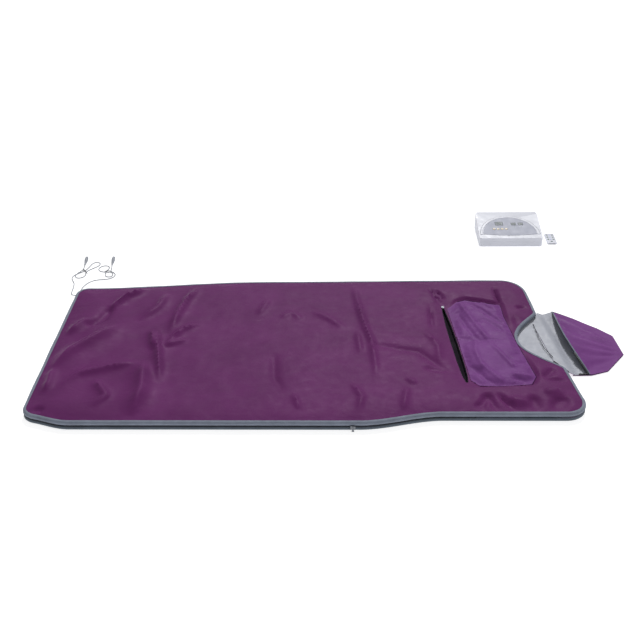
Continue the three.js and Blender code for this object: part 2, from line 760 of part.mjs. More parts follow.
// Every window in the face, each `extra` larger all round than what sits in it.
function faceHoles(extra) {
  const holes = KEY_NAMES.map((_, i) =>
    diamond(KEY_FIRST_X + i * KEY_PITCH, KEY_ROW_Y, KEY_DIAGONAL + extra * 2.83),
  );
  for (const { x, y, w, h } of Object.values(DISPLAYS)) {
    holes.push(rectangle(x, y, w + 2 * extra, h + 2 * extra));
  }
  for (const [x, y] of LAMPS) {
    holes.push(arc(x, y, LAMP_R + extra, 0, 330, 11));
  }
  return holes;
}

const REAR = {
  switchX: 52.7,
  switchW: 30,
  switchH: 22,
  switchZ: 44,
  inletX: 96,
  inletW: 27,
  inletH: 20,
  socketX: [140, 172],
  socketW: 16,
  socketH: 13,
  fuseX: BOX_W - 44,
  fuseR: 5.5,
};
const REAR_INNER_Y = BOX_D - BOX_WALL;

function rearHole(x, w, h) {
  const z = REAR.switchZ;
  return block(x - w / 2, REAR_INNER_Y - 1, z - h / 2, x + w / 2, BOX_D + 1, z + h / 2);
}

function buildControllerCases() {
  const outline = roundedRectangle(0, 0, BOX_W, BOX_D, BOX_CORNER_R);
  const tray = slab(outline, BOX_FOOT_H, BOX_SPLIT_Z);
  const inset = roundedRectangle(
    BOX_WALL,
    BOX_WALL,
    BOX_W - BOX_WALL,
    BOX_D - BOX_WALL,
    BOX_CORNER_R - BOX_WALL,
  );
  const trayFloor = BOX_FOOT_H + BOX_WALL;
  const corners = [
    [BOX_FOOT_INSET, BOX_FOOT_INSET],
    [BOX_W - BOX_FOOT_INSET, BOX_FOOT_INSET],
    [BOX_FOOT_INSET, BOX_D - BOX_FOOT_INSET],
    [BOX_W - BOX_FOOT_INSET, BOX_D - BOX_FOOT_INSET],
  ];
  const feet = corners.map(([x, y]) => disc(x, y, 0, BOX_FOOT_H + 1, BOX_FOOT_R, 16));
  const bottom = join(cut(tray, slab(inset, trayFloor, BOX_SPLIT_Z + 1)), ...feet);
  add("controller_bottom_case", bottom, whiteShell, box);
  const hollow = wedge(BOX_WALL, BOX_SPLIT_Z - 2, BOX_WALL);
  const windows = faceHoles(GAP).map((hole) => fromFace(slab(hole, -BOX_WALL * 2, 1)));
  const fuseHole = disc(0, 0, -4, 4, REAR.fuseR + GAP, 20).rotateX(Math.PI / 2);
  const rear = [
    rearHole(REAR.switchX, REAR.switchW, REAR.switchH),
    rearHole(REAR.inletX, REAR.inletW, REAR.inletH),
    ...REAR.socketX.map((x) => rearHole(x, REAR.socketW, REAR.socketH)),
    fuseHole.translate(REAR.fuseX, BOX_D, REAR.switchZ),
  ];
  const shell = cut(wedge(0, BOX_SPLIT_Z + GAP, 0), hollow, ...windows, ...rear);
  add("controller_top_case", shell, whiteShell, box);
}

function buildControllerFace() {
  const windows = faceHoles(GAP).map((hole) => slab(hole, 0, PANEL_T + 1));
  const overlay = cut(slab(panelOutline(), GAP, GAP + PANEL_T), ...windows);
  add("control_panel", overlay, panelBlue, face);
  const boardTop = -BOARD_DEPTH + BOARD_T;
  for (const [name, { x, y, w, h }] of Object.entries(DISPLAYS)) {
    add(name, slab(rectangle(x, y, w, h), boardTop + GAP, GAP + PANEL_T + 0.4), displayWindow, face);
  }
  KEY_NAMES.forEach((name, i) => {
    const outline = diamond(KEY_FIRST_X + i * KEY_PITCH, KEY_ROW_Y, KEY_DIAGONAL);
    const bottom = boardTop + KEY_TRAVEL + GAP;
    add(name, slab(outline, bottom, GAP + PANEL_T + KEY_TRAVEL), goldKey, face);
  });
  const [left, right] = [PANEL_MIDDLE - 87.6, PANEL_MIDDLE + 74.4];
  const board = block(left, 48, -BOARD_DEPTH, right, 124, boardTop);
  const lamps = LAMPS.map(([x, y]) => disc(x, y, boardTop - 0.5, GAP + PANEL_T + 0.2, LAMP_R, 12));
  add("display_board", join(board, ...lamps), boardGreen, face);
}

// A socket block in the rear wall, with a rectangular mouth `deep` into it.
function rearSocket(name, x, w, h, deep, mouthW, mouthH, look) {
  const z = REAR.switchZ;
  const body = block(
    x - w / 2 + GAP,
    REAR_INNER_Y - deep,
    z - h / 2 + GAP,
    x + w / 2 - GAP,
    BOX_D + 0.6,
    z + h / 2 - GAP,
  );
  const mouth = block(
    x - mouthW / 2,
    REAR_INNER_Y - deep + 3,
    z - mouthH / 2,
    x + mouthW / 2,
    BOX_D + 2,
    z + mouthH / 2,
  );
  add(name, cut(body, mouth), look, box);
}

function buildControllerRear() {
  rearSocket("mains_inlet", REAR.inletX, REAR.inletW, REAR.inletH, 22, 20, 12, blackPlastic);
  REAR.socketX.forEach((x, i) => {
    const name = `lead_socket_${i + 1}`;
    rearSocket(name, x, REAR.socketW, REAR.socketH, 20, 9, 7, blackPlastic);
  });
  rearSocket("power_switch_frame", REAR.switchX, REAR.switchW, REAR.switchH, 18, 25, 17, blackPlastic);
  const z = REAR.switchZ;
  const rocker = disc(0, 0, -11.6, 11.6, 8, 24).rotateY(Math.PI / 2);
  const trimmed = cut(rocker, block(-20, -20, -20, 20, -3, 20));
  add("power_rocker", trimmed.translate(REAR.switchX, BOX_D - 5.2, z), blackPlastic, box);
  const cap = turned(
    [[0, 0], [REAR.fuseR, 0], [REAR.fuseR, 14], [4.4, 16], [0, 16]],
    [REAR.fuseX, REAR_INNER_Y - 11, z],
    [0, 1, 0],
    20,
  );
  add("fuse_cap", cap, leadGrey, box);
}

function buildControllerInside() {
  const floor = BOX_FOOT_H + BOX_WALL + GAP;
  const board = block(20, 30, floor + 3, BOX_W - 100, 150, floor + 3 + BOARD_T);
  add("main_board", board, boardGreen, box);
  const transformer = block(BOX_W - 81, 40, floor, BOX_W - 25, 96, floor + 27);
  add("transformer", transformer, copper, box);
}

// ---------------------------------------------------------------- remote

const remote = new THREE.Group();
remote.position.set(REMOTE_PLACE[0], REMOTE_PLACE[1], 0);
object.add(remote);

const REMOTE_KEYS = {
  remote_key_time_down: [-11.2, 74.4],
  remote_key_time_up: [11.2, 74.4],
  remote_key_one_down: [-11.2, 55.1],
  remote_key_one_up: [11.2, 55.1],
  remote_key_two_down: [-11.2, 35.2],
  remote_key_two_up: [11.2, 35.2],
  remote_key_power: [0, 15.5],
};
const TRAY = { half: 11.6, length: 27, z0: 0.7, z1: 3.2 };

function buildRemote() {
  const outline = roundedRectangle(-REMOTE_W / 2, 0, REMOTE_W / 2, REMOTE_L, REMOTE_CORNER_R);
  const backSlot = block(
    -TRAY.half - GAP,
    -1,
    TRAY.z0 - GAP,
    TRAY.half + GAP,
    TRAY.length + GAP,
    TRAY.z1 + GAP,
  );
  add("remote_back_case", cut(slab(outline, 0, REMOTE_BACK_T), backSlot), whiteShell, remote);
  const cellY = TRAY.length - CELL_R - 2;
  const tray = block(-TRAY.half, 0, TRAY.z0, TRAY.half, TRAY.length, TRAY.z1);
  const pocket = disc(0, cellY, TRAY.z0 - 1, TRAY.z1 + 1, CELL_R + GAP, 28);
  add("battery_tray", cut(tray, pocket), whiteShell, remote);
  add("coin_cell", disc(0, cellY, TRAY.z0, TRAY.z0 + CELL_T, CELL_R, 28), steel, remote);
  const frontZ = REMOTE_BACK_T + GAP;
  const frontTop = frontZ + REMOTE_FRONT_T;
  const inner = roundedRectangle(
    -REMOTE_W / 2 + REMOTE_WALL,
    REMOTE_WALL,
    REMOTE_W / 2 - REMOTE_WALL,
    REMOTE_L - REMOTE_WALL,
    REMOTE_CORNER_R - REMOTE_WALL,
  );
  const hollow = slab(inner, frontZ - 1, frontTop - REMOTE_WALL);
  const holes = Object.values(REMOTE_KEYS).map(([x, y]) =>
    disc(x, y, frontZ, frontTop + 1, REMOTE_KEY_R + GAP),
  );
  const boardZ = frontZ + 0.1;
  const ledHole = block(-2.6, REMOTE_L - 3, boardZ - 1, 2.6, REMOTE_L + 1, boardZ + 1.6);
  const front = cut(slab(outline, frontZ, frontTop), hollow, ledHole, ...holes);
  add("remote_front_case", front, whiteShell, remote);
  const board = block(
    -REMOTE_W / 2 + 2,
    2,
    boardZ,
    REMOTE_W / 2 - 2,
    REMOTE_L - 2,
    boardZ + 0.6,
  );
  const led = block(-2, REMOTE_L - 4, boardZ, 2, REMOTE_L + 0.4, boardZ + 1.3);
  add("remote_board", join(board, led), boardGreen, remote);
  for (const [name, [x, y]] of Object.entries(REMOTE_KEYS)) {
    const look = name.endsWith("power") ? redKey : blueKey;
    add(name, disc(x, y, boardZ + 1.2, frontTop + REMOTE_KEY_PROUD, REMOTE_KEY_R), look, remote);
  }
}

// ---------------------------------------------------------------- assembly

buildBase();
buildCover();
buildMainZip();
buildArmSlit();
buildPouch();
buildHood();
buildLead("left", LEFT_GLAND_DEG, LEFT_ROUTE, LEFT_PLUG_TIP);
buildLead("right", RIGHT_GLAND_DEG, RIGHT_ROUTE, RIGHT_PLUG_TIP);
buildControllerCases();
buildControllerFace();
buildControllerRear();
buildControllerInside();
buildRemote();

export default object;
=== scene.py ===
"""Looks for the infrared sauna blanket: fabric, cords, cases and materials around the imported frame."""

import math

import bmesh
import bpy
import numpy as np
from mathutils import Matrix, Vector, geometry, noise


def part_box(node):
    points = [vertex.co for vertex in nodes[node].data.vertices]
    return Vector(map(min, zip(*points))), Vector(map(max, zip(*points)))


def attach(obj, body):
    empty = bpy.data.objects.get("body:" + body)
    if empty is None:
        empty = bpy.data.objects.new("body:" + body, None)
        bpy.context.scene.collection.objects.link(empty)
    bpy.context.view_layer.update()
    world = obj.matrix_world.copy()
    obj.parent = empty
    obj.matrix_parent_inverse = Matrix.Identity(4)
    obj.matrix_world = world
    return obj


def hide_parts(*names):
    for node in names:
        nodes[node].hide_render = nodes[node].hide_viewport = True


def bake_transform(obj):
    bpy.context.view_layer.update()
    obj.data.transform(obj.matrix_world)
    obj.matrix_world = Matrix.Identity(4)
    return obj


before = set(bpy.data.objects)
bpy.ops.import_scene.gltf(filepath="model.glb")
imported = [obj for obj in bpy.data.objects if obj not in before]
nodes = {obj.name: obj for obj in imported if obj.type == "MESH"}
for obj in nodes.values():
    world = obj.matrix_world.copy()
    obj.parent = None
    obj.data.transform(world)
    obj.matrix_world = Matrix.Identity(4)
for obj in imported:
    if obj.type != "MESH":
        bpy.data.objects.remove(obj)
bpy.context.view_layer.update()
MM = 0.001


def placed(name, data):
    """A new object for the data, linked to the scene."""
    piece = bpy.data.objects.new(name, data)
    bpy.context.scene.collection.objects.link(piece)
    return piece



# ---------------------------------------------------------------- camera


def make_camera():
    """The camera stands before the near edge, a little left of the middle, and looks down at it."""
    pitch, yaw, roll = 0.5593, -0.030065, -0.01769
    data = bpy.data.cameras.new("camera")
    data.sensor_width = 36
    data.lens = 53.23
    camera = placed("camera", data)
    forward = Vector((math.sin(yaw) * math.cos(pitch), math.cos(yaw) * math.cos(pitch), -math.sin(pitch)))
    right = Vector((math.cos(yaw), -math.sin(yaw), 0))
    up = right.cross(forward)
    side = math.cos(roll) * right + math.sin(roll) * up
    top = math.cos(roll) * up - math.sin(roll) * right
    matrix = Matrix((side, top, -forward)).transposed().to_4x4()
    matrix.translation = (0.13306, -2.77869, 1.87273)
    camera.matrix_world = matrix
    bpy.context.scene.camera = camera


make_camera()

# ---------------------------------------------------------------- materials


def srgb(*channels):
    """A colour given as 0 to 255 display values, as the linear values that a shader takes."""
    return tuple(((c / 255 + 0.055) / 1.055) ** 2.4 if c > 10 else c / 255 / 12.92 for c in channels)


class Nodes:
    """A material under construction: its nodes work on the object's own coordinates, in metres."""

    def __init__(self, name, roughness, metallic=0.0, specular=0.5, sheen=0.0, coat=0.0):
        self.material = bpy.data.materials.new(name)
        self.material.use_nodes = True
        self.tree = self.material.node_tree
        self.shader = self.tree.nodes["Principled BSDF"]
        self.place = self.add("ShaderNodeTexCoord").outputs["Object"]
        self.set("Roughness", roughness)
        self.set("Metallic", metallic)
        self.set("Specular IOR Level", specular)
        self.set("Sheen Weight", sheen)
        self.set("Coat Weight", coat)

    def set(self, socket, value):
        self.shader.inputs[socket].default_value = value

    def add(self, kind, **settings):
        node = self.tree.nodes.new(kind)
        for key, value in settings.items():
            setattr(node, key, value)
        return node

    def link(self, a, b):
        self.tree.links.new(a, b)

    def stretched(self, scale):
        node = self.add("ShaderNodeMapping")
        node.inputs["Scale"].default_value = scale
        self.link(self.place, node.inputs["Vector"])
        return node.outputs["Vector"]

    def noise(self, scale, detail=3.0, stretch=(1, 1, 1), distortion=0.0):
        node = self.add("ShaderNodeTexNoise")
        node.inputs["Scale"].default_value = scale
        node.inputs["Detail"].default_value = detail
        node.inputs["Distortion"].default_value = distortion
        self.link(self.stretched(stretch), node.inputs["Vector"])
        return node.outputs["Fac"]

    def bands(self, period, axis):
        node = self.add("ShaderNodeTexWave", bands_direction=axis)
        node.inputs["Scale"].default_value = 0.314 / period
        self.link(self.place, node.inputs["Vector"])
        return node.outputs["Fac"]

    def math(self, operation, a, b):
        node = self.add("ShaderNodeMath", operation=operation)
        for socket, value in zip(node.inputs, (a, b)):
            if isinstance(value, (int, float)):
                socket.default_value = value
            else:
                self.link(value, socket)
        return node.outputs[0]

    def colour(self, colour, spread, fac, tint=None):
        """The colour, from `spread` darker to `spread` lighter as fac goes from 0.3 to 0.7."""
        ramp = self.add("ShaderNodeValToRGB")
        ends = ramp.color_ramp.elements
        ends[0].position, ends[1].position = 0.3, 0.7
        ends[0].color = (*[c * (1 - spread) for c in (tint or colour)], 1)
        ends[1].color = (*[min(1, c * (1 + spread)) for c in colour], 1)
        self.link(fac, ramp.inputs["Fac"])
        self.link(ramp.outputs["Color"], self.shader.inputs["Base Color"])

    def rough(self, low, high, fac):
        node = self.add("ShaderNodeMapRange")
        node.inputs["From Min"].default_value = 0.3
        node.inputs["From Max"].default_value = 0.7
        node.inputs["To Min"].default_value = low
        node.inputs["To Max"].default_value = high
        self.link(fac, node.inputs["Value"])
        self.link(node.outputs["Result"], self.shader.inputs["Roughness"])

    def bump(self, *layers):
        """Bump layers from coarse to fine, each (height, depth in metres, strength)."""
        normal = None
        for height, depth, strength in layers:
            node = self.add("ShaderNodeBump")
            node.inputs["Distance"].default_value = depth
            node.inputs["Strength"].default_value = strength
            self.link(height, node.inputs["Height"])
            if normal is not None:
                self.link(normal, node.inputs["Normal"])
            normal = node.outputs["Normal"]
        self.link(normal, self.shader.inputs["Normal"])


def nylon(name, colour, roughness, grid=None, crinkle=0.0009, specular=0.1):
    """Woven nylon: a fine plain weave, a ripstop grid where `grid` gives its pitch, and crinkles."""
    m = Nodes(name, roughness, specular=specular)
    m.set("Specular Tint", tuple(min(1.0, 2.6 * c) for c in colour[:3]) + (1,))
    broad = m.noise(5.5, 4, (1, 1.6, 1), 0.4)
    m.colour(colour, 0.1, broad)
    m.rough(roughness - 0.06, roughness + 0.08, m.noise(38, 3))
    weave = m.math("MULTIPLY", m.bands(0.9 * MM, "X"), m.bands(0.9 * MM, "Y"))
    layers = [
        (m.noise(16, 6, (1, 1.8, 1), 0.8), crinkle * 4, 0.35),
        (m.noise(75, 5, (1, 1.3, 1), 0.6), crinkle, 0.4),
    ]
    if grid:
        lines = m.math("MAXIMUM", m.bands(grid, "X"), m.bands(grid, "Y"))
        layers.append((m.math("POWER", lines, 14.0), 0.12 * MM, 0.5))
    layers.append((weave, 0.12 * MM, 0.35))
    m.bump(*layers)
    return m.material


def lining_cloth(name, colour):
    """Wipe-clean coated lining with faint quilting dimples."""
    m = Nodes(name, 0.5, specular=0.35)
    m.colour(colour, 0.07, m.noise(14, 5, distortion=0.5))
    m.rough(0.42, 0.6, m.noise(60, 3))
    weave = m.math("MULTIPLY", m.bands(1.6 * MM, "X"), m.bands(1.6 * MM, "Y"))
    m.bump((m.noise(24, 6, distortion=0.9), 3 * MM, 0.35), (m.noise(110, 4), 0.8 * MM, 0.35), (weave, 0.2 * MM, 0.4))
    return m.material


def woven(name, colour, period, roughness=0.75):
    """Grosgrain binding and zip tape: ribs across, and a soiled, slightly uneven dye."""
    m = Nodes(name, roughness, specular=0.25, sheen=0.1)
    m.colour(colour, 0.12, m.noise(30, 4))
    m.rough(roughness - 0.08, roughness + 0.08, m.noise(90, 2))
    ribs = m.math("MULTIPLY", m.bands(period, "X"), m.bands(period, "Y"))
    m.bump((m.noise(55, 4), 0.8 * MM, 0.35), (ribs, 0.2 * MM, 0.6))
    return m.material


def moulded(name, colour, roughness, specular=0.5, grain=0.05 * MM, coat=0.0, spread=0.025):
    """Moulded plastic with a fine spark-eroded grain and faint handling marks."""
    m = Nodes(name, roughness, specular=specular, coat=coat)
    m.colour(colour, spread, m.noise(22, 3))
    m.rough(max(0.05, roughness - 0.06), roughness + 0.06, m.noise(45, 4))
    m.bump((m.noise(14, 2), 0.2 * MM, 0.15), (m.noise(1500, 2), grain, 0.5))
    return m.material


def metal(name, colour, roughness):
    """Cast or rolled metal with fine scratches along X."""
    m = Nodes(name, roughness, metallic=1.0)
    m.colour(colour, 0.08, m.noise(60, 3))
    m.rough(roughness - 0.08, roughness + 0.12, m.noise(300, 3, (0.1, 1, 1)))
    m.bump((m.noise(900, 3, (0.08, 1, 1)), 0.03 * MM, 0.5))
    return m.material


def wadding_felt(name, colour, speck):
    """Needled wadding or a quilted web, with loose fibres."""
    m = Nodes(name, 0.95, specular=0.1, sheen=0.2)
    m.colour(colour, 0.12, m.noise(speck, 6, distortion=1.5))
    m.bump((m.noise(speck * 2, 6, distortion=2.0), 0.8 * MM, 0.7))
    return m.material


LOOKS = {
    "cover_nylon": nylon("cover_nylon", srgb(98, 44, 95), 0.48),
    "hood_nylon": nylon("hood_nylon", srgb(116, 66, 128), 0.46, grid=5 * MM, crinkle=0.0016),
    "insulation": wadding_felt("insulation", srgb(236, 234, 226), 130),
    "heater_web": wadding_felt("heater_web", srgb(74, 78, 82), 220),
    "lining": lining_cloth("lining", srgb(166, 169, 179)),
    "binding": woven("binding", srgb(120, 127, 142), 1.8 * MM),
    "zip_tape": woven("zip_tape", srgb(38, 40, 48), 1.2 * MM),
    "zip_metal": metal("zip_metal", srgb(128, 131, 137), 0.5),
    "lead_grey": moulded("lead_grey", srgb(142, 146, 155), 0.5, grain=0.08 * MM),
    "controller_white": moulded("controller_white", srgb(212, 214, 224), 0.42, specular=0.3),
    "panel_overlay": moulded("panel_overlay", srgb(176, 179, 194), 0.5, specular=0.2, grain=0.03 * MM),
    "display_window": moulded("display_window", srgb(138, 145, 148), 0.45, grain=0.01 * MM, specular=0.15),
    "gold_key": moulded("gold_key", srgb(205, 184, 140), 0.4, spread=0.08),
    "circuit_board": moulded("circuit_board", srgb(42, 104, 66), 0.35, spread=0.15),
    "black_plastic": moulded("black_plastic", srgb(34, 36, 40), 0.45, grain=0.08 * MM),
    "transformer_copper": metal("transformer_copper", srgb(176, 108, 66), 0.4),
    "remote_white": moulded("remote_white", srgb(214, 216, 226), 0.42, specular=0.3),
    "cell_steel": metal("cell_steel", srgb(196, 198, 202), 0.2),
    "blue_key": moulded("blue_key", srgb(60, 104, 176), 0.35, spread=0.06),
    "red_key": moulded("red_key", srgb(176, 52, 66), 0.35, spread=0.06),
}
# Dark violet for the hood's outer seam; on the pouch's hem the same dark colour is painted shadow.
DARK_VIOLET = nylon("seam_violet_and_painted_shadow", srgb(62, 28, 66), 0.6)
# Near-black cloth under the arm slit: painted shade for the dark inside of the opening.
SLIT_PAINTED_SHADE = nylon("painted_shade_under_slit", srgb(26, 20, 30), 0.7)
# The same binding fabric as the cover's, its colour darkened as painted shade for the lower band that lies in
# shadow.
SHADED_BINDING = woven("binding_painted_shade", srgb(92, 101, 112), 1.8 * MM)
DARK_PRINT = moulded("print_dark", srgb(44, 46, 52), 0.5, spread=0.05)
GREY_PRINT = moulded("print_grey", srgb(120, 124, 134), 0.5, spread=0.05)

# ---------------------------------------------------------------- leads

LEAD_D = 0.0036


def catmull(points, per_span):
    """The centripetal curve through the points."""
    pts = [Vector(p) for p in points]
    pts = [pts[0] * 2 - pts[1], *pts, pts[-1] * 2 - pts[-2]]
    out = []
    for p0, p1, p2, p3 in zip(pts, pts[1:], pts[2:], pts[3:]):
        d0, d1, d2 = ((b - a).length ** 0.5 or 1e-6 for a, b in ((p0, p1), (p1, p2), (p2, p3)))
        t1 = ((p1 - p0) / d0 - (p2 - p0) / (d0 + d1) + (p2 - p1) / d1) * d1
        t2 = ((p2 - p1) / d1 - (p3 - p1) / (d1 + d2) + (p3 - p2) / d2) * d1
        for k in range(per_span):
            t = k / per_span
            a = 2 * p1 - 2 * p2 + t1 + t2
            b = -3 * p1 + 3 * p2 - 2 * t1 - t2
            out.append(a * t**3 + b * t**2 + t1 * t + p1)
    out.append(pts[-2])
    return out


def spline_object(name, points, radius):
    curve = bpy.data.curves.new(name, "CURVE")
    curve.dimensions = "3D"
    curve.bevel_depth = radius
    curve.bevel_resolution = 5
    curve.use_fill_caps = True
    spline = curve.splines.new("POLY")
    spline.points.add(len(points) - 1)
    for point, place in zip(spline.points, points):
        point.co = (*place, 1)
    return placed(name, curve)


def finish_piece(piece, slot, *replaced, body=None, look=None):
    """Gives a piece its material slot, what it stands for and the body that it rides on."""
    if look is not None or not piece.data.materials:
        piece.data.materials.clear()
        piece.data.materials.append(look or LOOKS[slot])
    if replaced:
        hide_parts(*replaced)
    if body:
        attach(piece, body)
    return piece


def strand(name, line, radius, slot, body, look=None):
    """A thin round piece that no CAD node holds, such as a hem, a seam or an elastic."""
    return finish_piece(spline_object(name, line, radius), slot, body=body, look=look)


LOW, OVER = 1.9, 5.8
LEADS = {
    "left": {
        "angle": 155,
        "route": [
            (-929, 392, 4.6), (-937, 403, 3.2), (-940, 425, LOW), (-942, 458, LOW), (-948, 490, LOW),
            (-960, 514, LOW), (-966, 534, LOW), (-962, 552, LOW), (-950, 568, LOW), (-937, 580, LOW),
            (-925, 596, LOW), (-918, 616, LOW), (-913, 638, LOW), (-907, 655, LOW), (-893, 663, LOW),
            (-879, 655, LOW), (-877, 640, LOW), (-886, 624, LOW), (-901, 608, LOW), (-914, 592, LOW),
            (-919, 574, LOW), (-917, 555, LOW), (-923, 539, LOW), (-937, 531, LOW), (-950, 536, LOW),
            (-956, 549, LOW + 1.4), (-949, 564, OVER), (-941, 580, OVER), (-937, 597, LOW + 1.4),
            (-937, 616, LOW), (-938, 636, 4),
        ],
        "tie": (-0.9265, 0.586),
        "tie_turn": -52,
    },
    "right": {
        "angle": 125,
        "route": [
            (-901, 418, 4.6), (-905, 430, 3.2), (-905, 450, LOW), (-900, 472, LOW), (-890, 492, LOW),
            (-875, 508, LOW), (-854, 516, LOW), (-831, 519, LOW), (-811, 526, LOW), (-798, 541, LOW),
            (-796, 558, LOW), (-804, 572, LOW), (-820, 579, LOW), (-839, 580, LOW), (-857, 584, LOW),
            (-870, 596, LOW), (-873, 613, LOW), (-864, 628, LOW), (-848, 633, LOW), (-835, 625, LOW),
            (-831, 609, LOW + 0.8), (-833, 593, OVER - 0.6), (-835, 579, OVER), (-837, 564, LOW + 1.8),
            (-834, 549, LOW), (-822, 540, LOW), (-809, 544, LOW), (-806, 557, LOW + 1.4),
            (-811, 570, OVER - 0.6), (-817, 581, OVER), (-820, 598, LOW + 1.8), (-822, 616, LOW),
            (-825, 636, 4),
        ],
        "tie": (-0.829, 0.5795),
        "tie_turn": 0,
    },
}
FOOT_ARC = Vector((-0.86, 0.36, 0.0055))
GLAND_FOOT = 0.0443


def ring_tube(name, stations, material):
    """A closed lofted tube: each station is a ring of the same number of points."""
    k = len(stations[0])
    verts = [p for ring in stations for p in ring]
    faces = []
    for s in range(len(stations) - 1):
        for i in range(k):
            j = (i + 1) % k
            faces.append((s * k + i, s * k + j, (s + 1) * k + j, (s + 1) * k + i))
    faces.append(tuple(reversed(range(k))))
    faces.append(tuple((len(stations) - 1) * k + i for i in range(k)))
    return mesh_object(name, verts, faces, material)


def mesh_object(name, verts, faces, material, smooth=True, sharp=40):
    mesh = bpy.data.meshes.new(name)
    mesh.from_pydata([tuple(v) for v in verts], [], [tuple(f) for f in faces])
    mesh.update()
    bm = bmesh.new()
    bm.from_mesh(mesh)
    bmesh.ops.recalc_face_normals(bm, faces=bm.faces)
    bm.to_mesh(mesh)
    bm.free()
    for m in material if isinstance(material, (list, tuple)) else [material]:
        mesh.materials.append(m)
    if smooth:
        mesh.polygons.foreach_set("use_smooth", [True] * len(mesh.polygons))
        mesh.set_sharp_from_angle(angle=math.radians(sharp))
    return placed(name, mesh)


def turned(name, profile, start, axis, material, sides=28):
    """A body of revolution: profile points are (radius, distance along the axis)."""
    axis = axis.normalized()
    side = axis.cross(Vector((0, 0, 1))).normalized()
    up = side.cross(axis)
    rings = []
    for radius, along in profile:
        ring = []
        for i in range(sides):
            a = 2 * math.pi * i / sides
            ring.append(start + axis * along + (side * math.cos(a) + up * math.sin(a)) * radius)
        rings.append(ring)
    return ring_tube(name, rings, material)


def make_lead(side):
    facts = LEADS[side]
    angle = math.radians(facts["angle"])
    heading = Vector((math.cos(angle), math.sin(angle), 0))
    foot = FOOT_ARC + heading * GLAND_FOOT
    route = [foot + heading * 0.0186, foot + heading * 0.023] + [Vector(p) * MM for p in facts["route"]]
    line = catmull(route, 10)
    lead = spline_object(f"heater_lead_{side}", line, LEAD_D / 2)
    finish_piece(lead, "lead_grey", f"lead_{side}", body="base")
    ribs = [(0.0042 - 0.0002 * (i % 2) * 2 - 0.0001 * i, 0.001 * i) for i in range(1, 14)]
    profile = [(0.0036, 0.0002), (0.0042, 0.0008), *ribs, (0.0025, 0.0165), (0.0021, 0.018)]
    gland = turned(f"strain_relief_{side}", profile, foot, heading, LOOKS["lead_grey"])
    finish_piece(gland, "lead_grey", f"lead_gland_{side}", body="base")
    tie = make_tie(side, facts["tie"], facts["tie_turn"])
    plug = make_plug(side, line)


def make_plug(side, line):
    """A long teardrop in-line plug that tapers into the lead, with a collar and a socket end."""
    low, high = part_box(f"lead_plug_{side}")
    start = line[-1]
    tip = Vector(((low.x + high.x) / 2, high.y, 0.0072))
    if side == "left":
        tip.x = low.x + 0.0046
    axis = tip - start
    profile = [
        (2.1, 0.6), (2.6, 1.2), (2.8, 4), (2.7, 5), (3.2, 9), (4.2, 16), (5.5, 24), (6.6, 33), (7.1, 41),
        (7.1, 47), (6.7, 53), (6.0, 57), (5.9, 57.6), (5.2, 57.8), (5.1, 61.2), (4.6, 62), (3.4, 62.1),
        (3.4, 58.5),
    ]
    profile = [(r * MM, h * MM) for r, h in profile]
    plug = turned(f"heater_plug_{side}", profile, start, axis, LOOKS["lead_grey"])
    for v in plug.data.vertices:
        v.co.z = max(v.co.z, 0.0001)
    return finish_piece(plug, "lead_grey", f"lead_plug_{side}", body="base")


def make_tie(side, place, turn):
    """A black twist tie: two turns round the bundle and two twisted ends."""
    a = math.radians(turn)
    run, across = Vector((-math.sin(a), math.cos(a), 0)), Vector((math.cos(a), math.sin(a), 0))
    middle = Vector((*place, 0.0047))
    loops = []
    for i in range(49):
        t = i / 48
        phi = 2 * math.pi * (2 * t)
        up = Vector((0, 0, 0.0038 * math.sin(phi)))
        loops.append(middle + across * 0.0135 * math.cos(phi) + up + run * (t - 0.5) * 0.005)
    for i in range(1, 16):
        t = i / 15
        swirl = across * math.cos(9 * t) + run * math.sin(9 * t)
        loops.append(middle + across * (0.0135 + 0.012 * t) + swirl * 0.0012 + Vector((0, 0, -0.003 * t)))
    return strand(f"twist_tie_{side}", loops, 0.0008, "black_plastic", "base")


for lead_side in LEADS:
    make_lead(lead_side)

# ---------------------------------------------------------------- plan geometry of the fabric pieces


def arc(cx, cy, r, a0, a1, steps=16):
    angles = np.radians(np.linspace(a0, a1, steps + 1))
    return [(cx + r * math.cos(a), cy + r * math.sin(a)) for a in angles]


def resample(loop, step, closed=True):
    """The loop with points about `step` apart."""
    pts = np.array(loop, float)
    if closed:
        pts = np.vstack([pts, pts[:1]])
    along = np.concatenate([[0], np.cumsum(np.linalg.norm(np.diff(pts, axis=0), axis=1))])
    count = max(3, round(along[-1] / step))
    at = np.linspace(0, along[-1], count + 1)
    if closed:
        at = at[:-1]
    return np.column_stack([np.interp(at, along, pts[:, k]) for k in range(pts.shape[1])])


def normals(loop, closed=True):
    """Unit vectors square to a plan line, to its left."""
    if closed:
        run = np.roll(loop, -1, 0) - np.roll(loop, 1, 0)
    else:
        run = np.gradient(loop, axis=0)
    run = run[:, :2] / np.linalg.norm(run[:, :2], axis=1, keepdims=True)
    return np.column_stack([-run[:, 1], run[:, 0]])


def distance(points, lines, closed=True):
    """Distance in plan from each point to the nearest of the lines."""
    best = np.full(len(points), 9.0)
    for line in lines:
        a = np.array(line, float)[:, :2]
        b = np.roll(a, -1, 0)
        if not closed:
            a, b = a[:-1], b[:-1]
        ab = b - a
        size = np.maximum((ab**2).sum(1), 1e-12)
        for k in range(0, len(points), 2000):
            p = points[k : k + 2000, None, :]
            t = np.clip(((p - a) * ab).sum(2) / size, 0, 1)
            gap = np.linalg.norm(p - a - ab * t[..., None], axis=2).min(1)
            best[k : k + 2000] = np.minimum(best[k : k + 2000], gap)
    return best


def inside(points, loops):
    """Whether each point is inside the loops, by the even-odd rule."""
    odd = np.zeros(len(points), bool)
    x, y = points[:, 0], points[:, 1]
    for loop in loops:
        for (x0, y0), (x1, y1) in zip(loop, np.roll(loop, -1, 0)):
            if y0 != y1:
                odd ^= ((y0 > y) != (y1 > y)) & (x < (x1 - x0) * (y - y0) / (y1 - y0) + x0)
    return odd


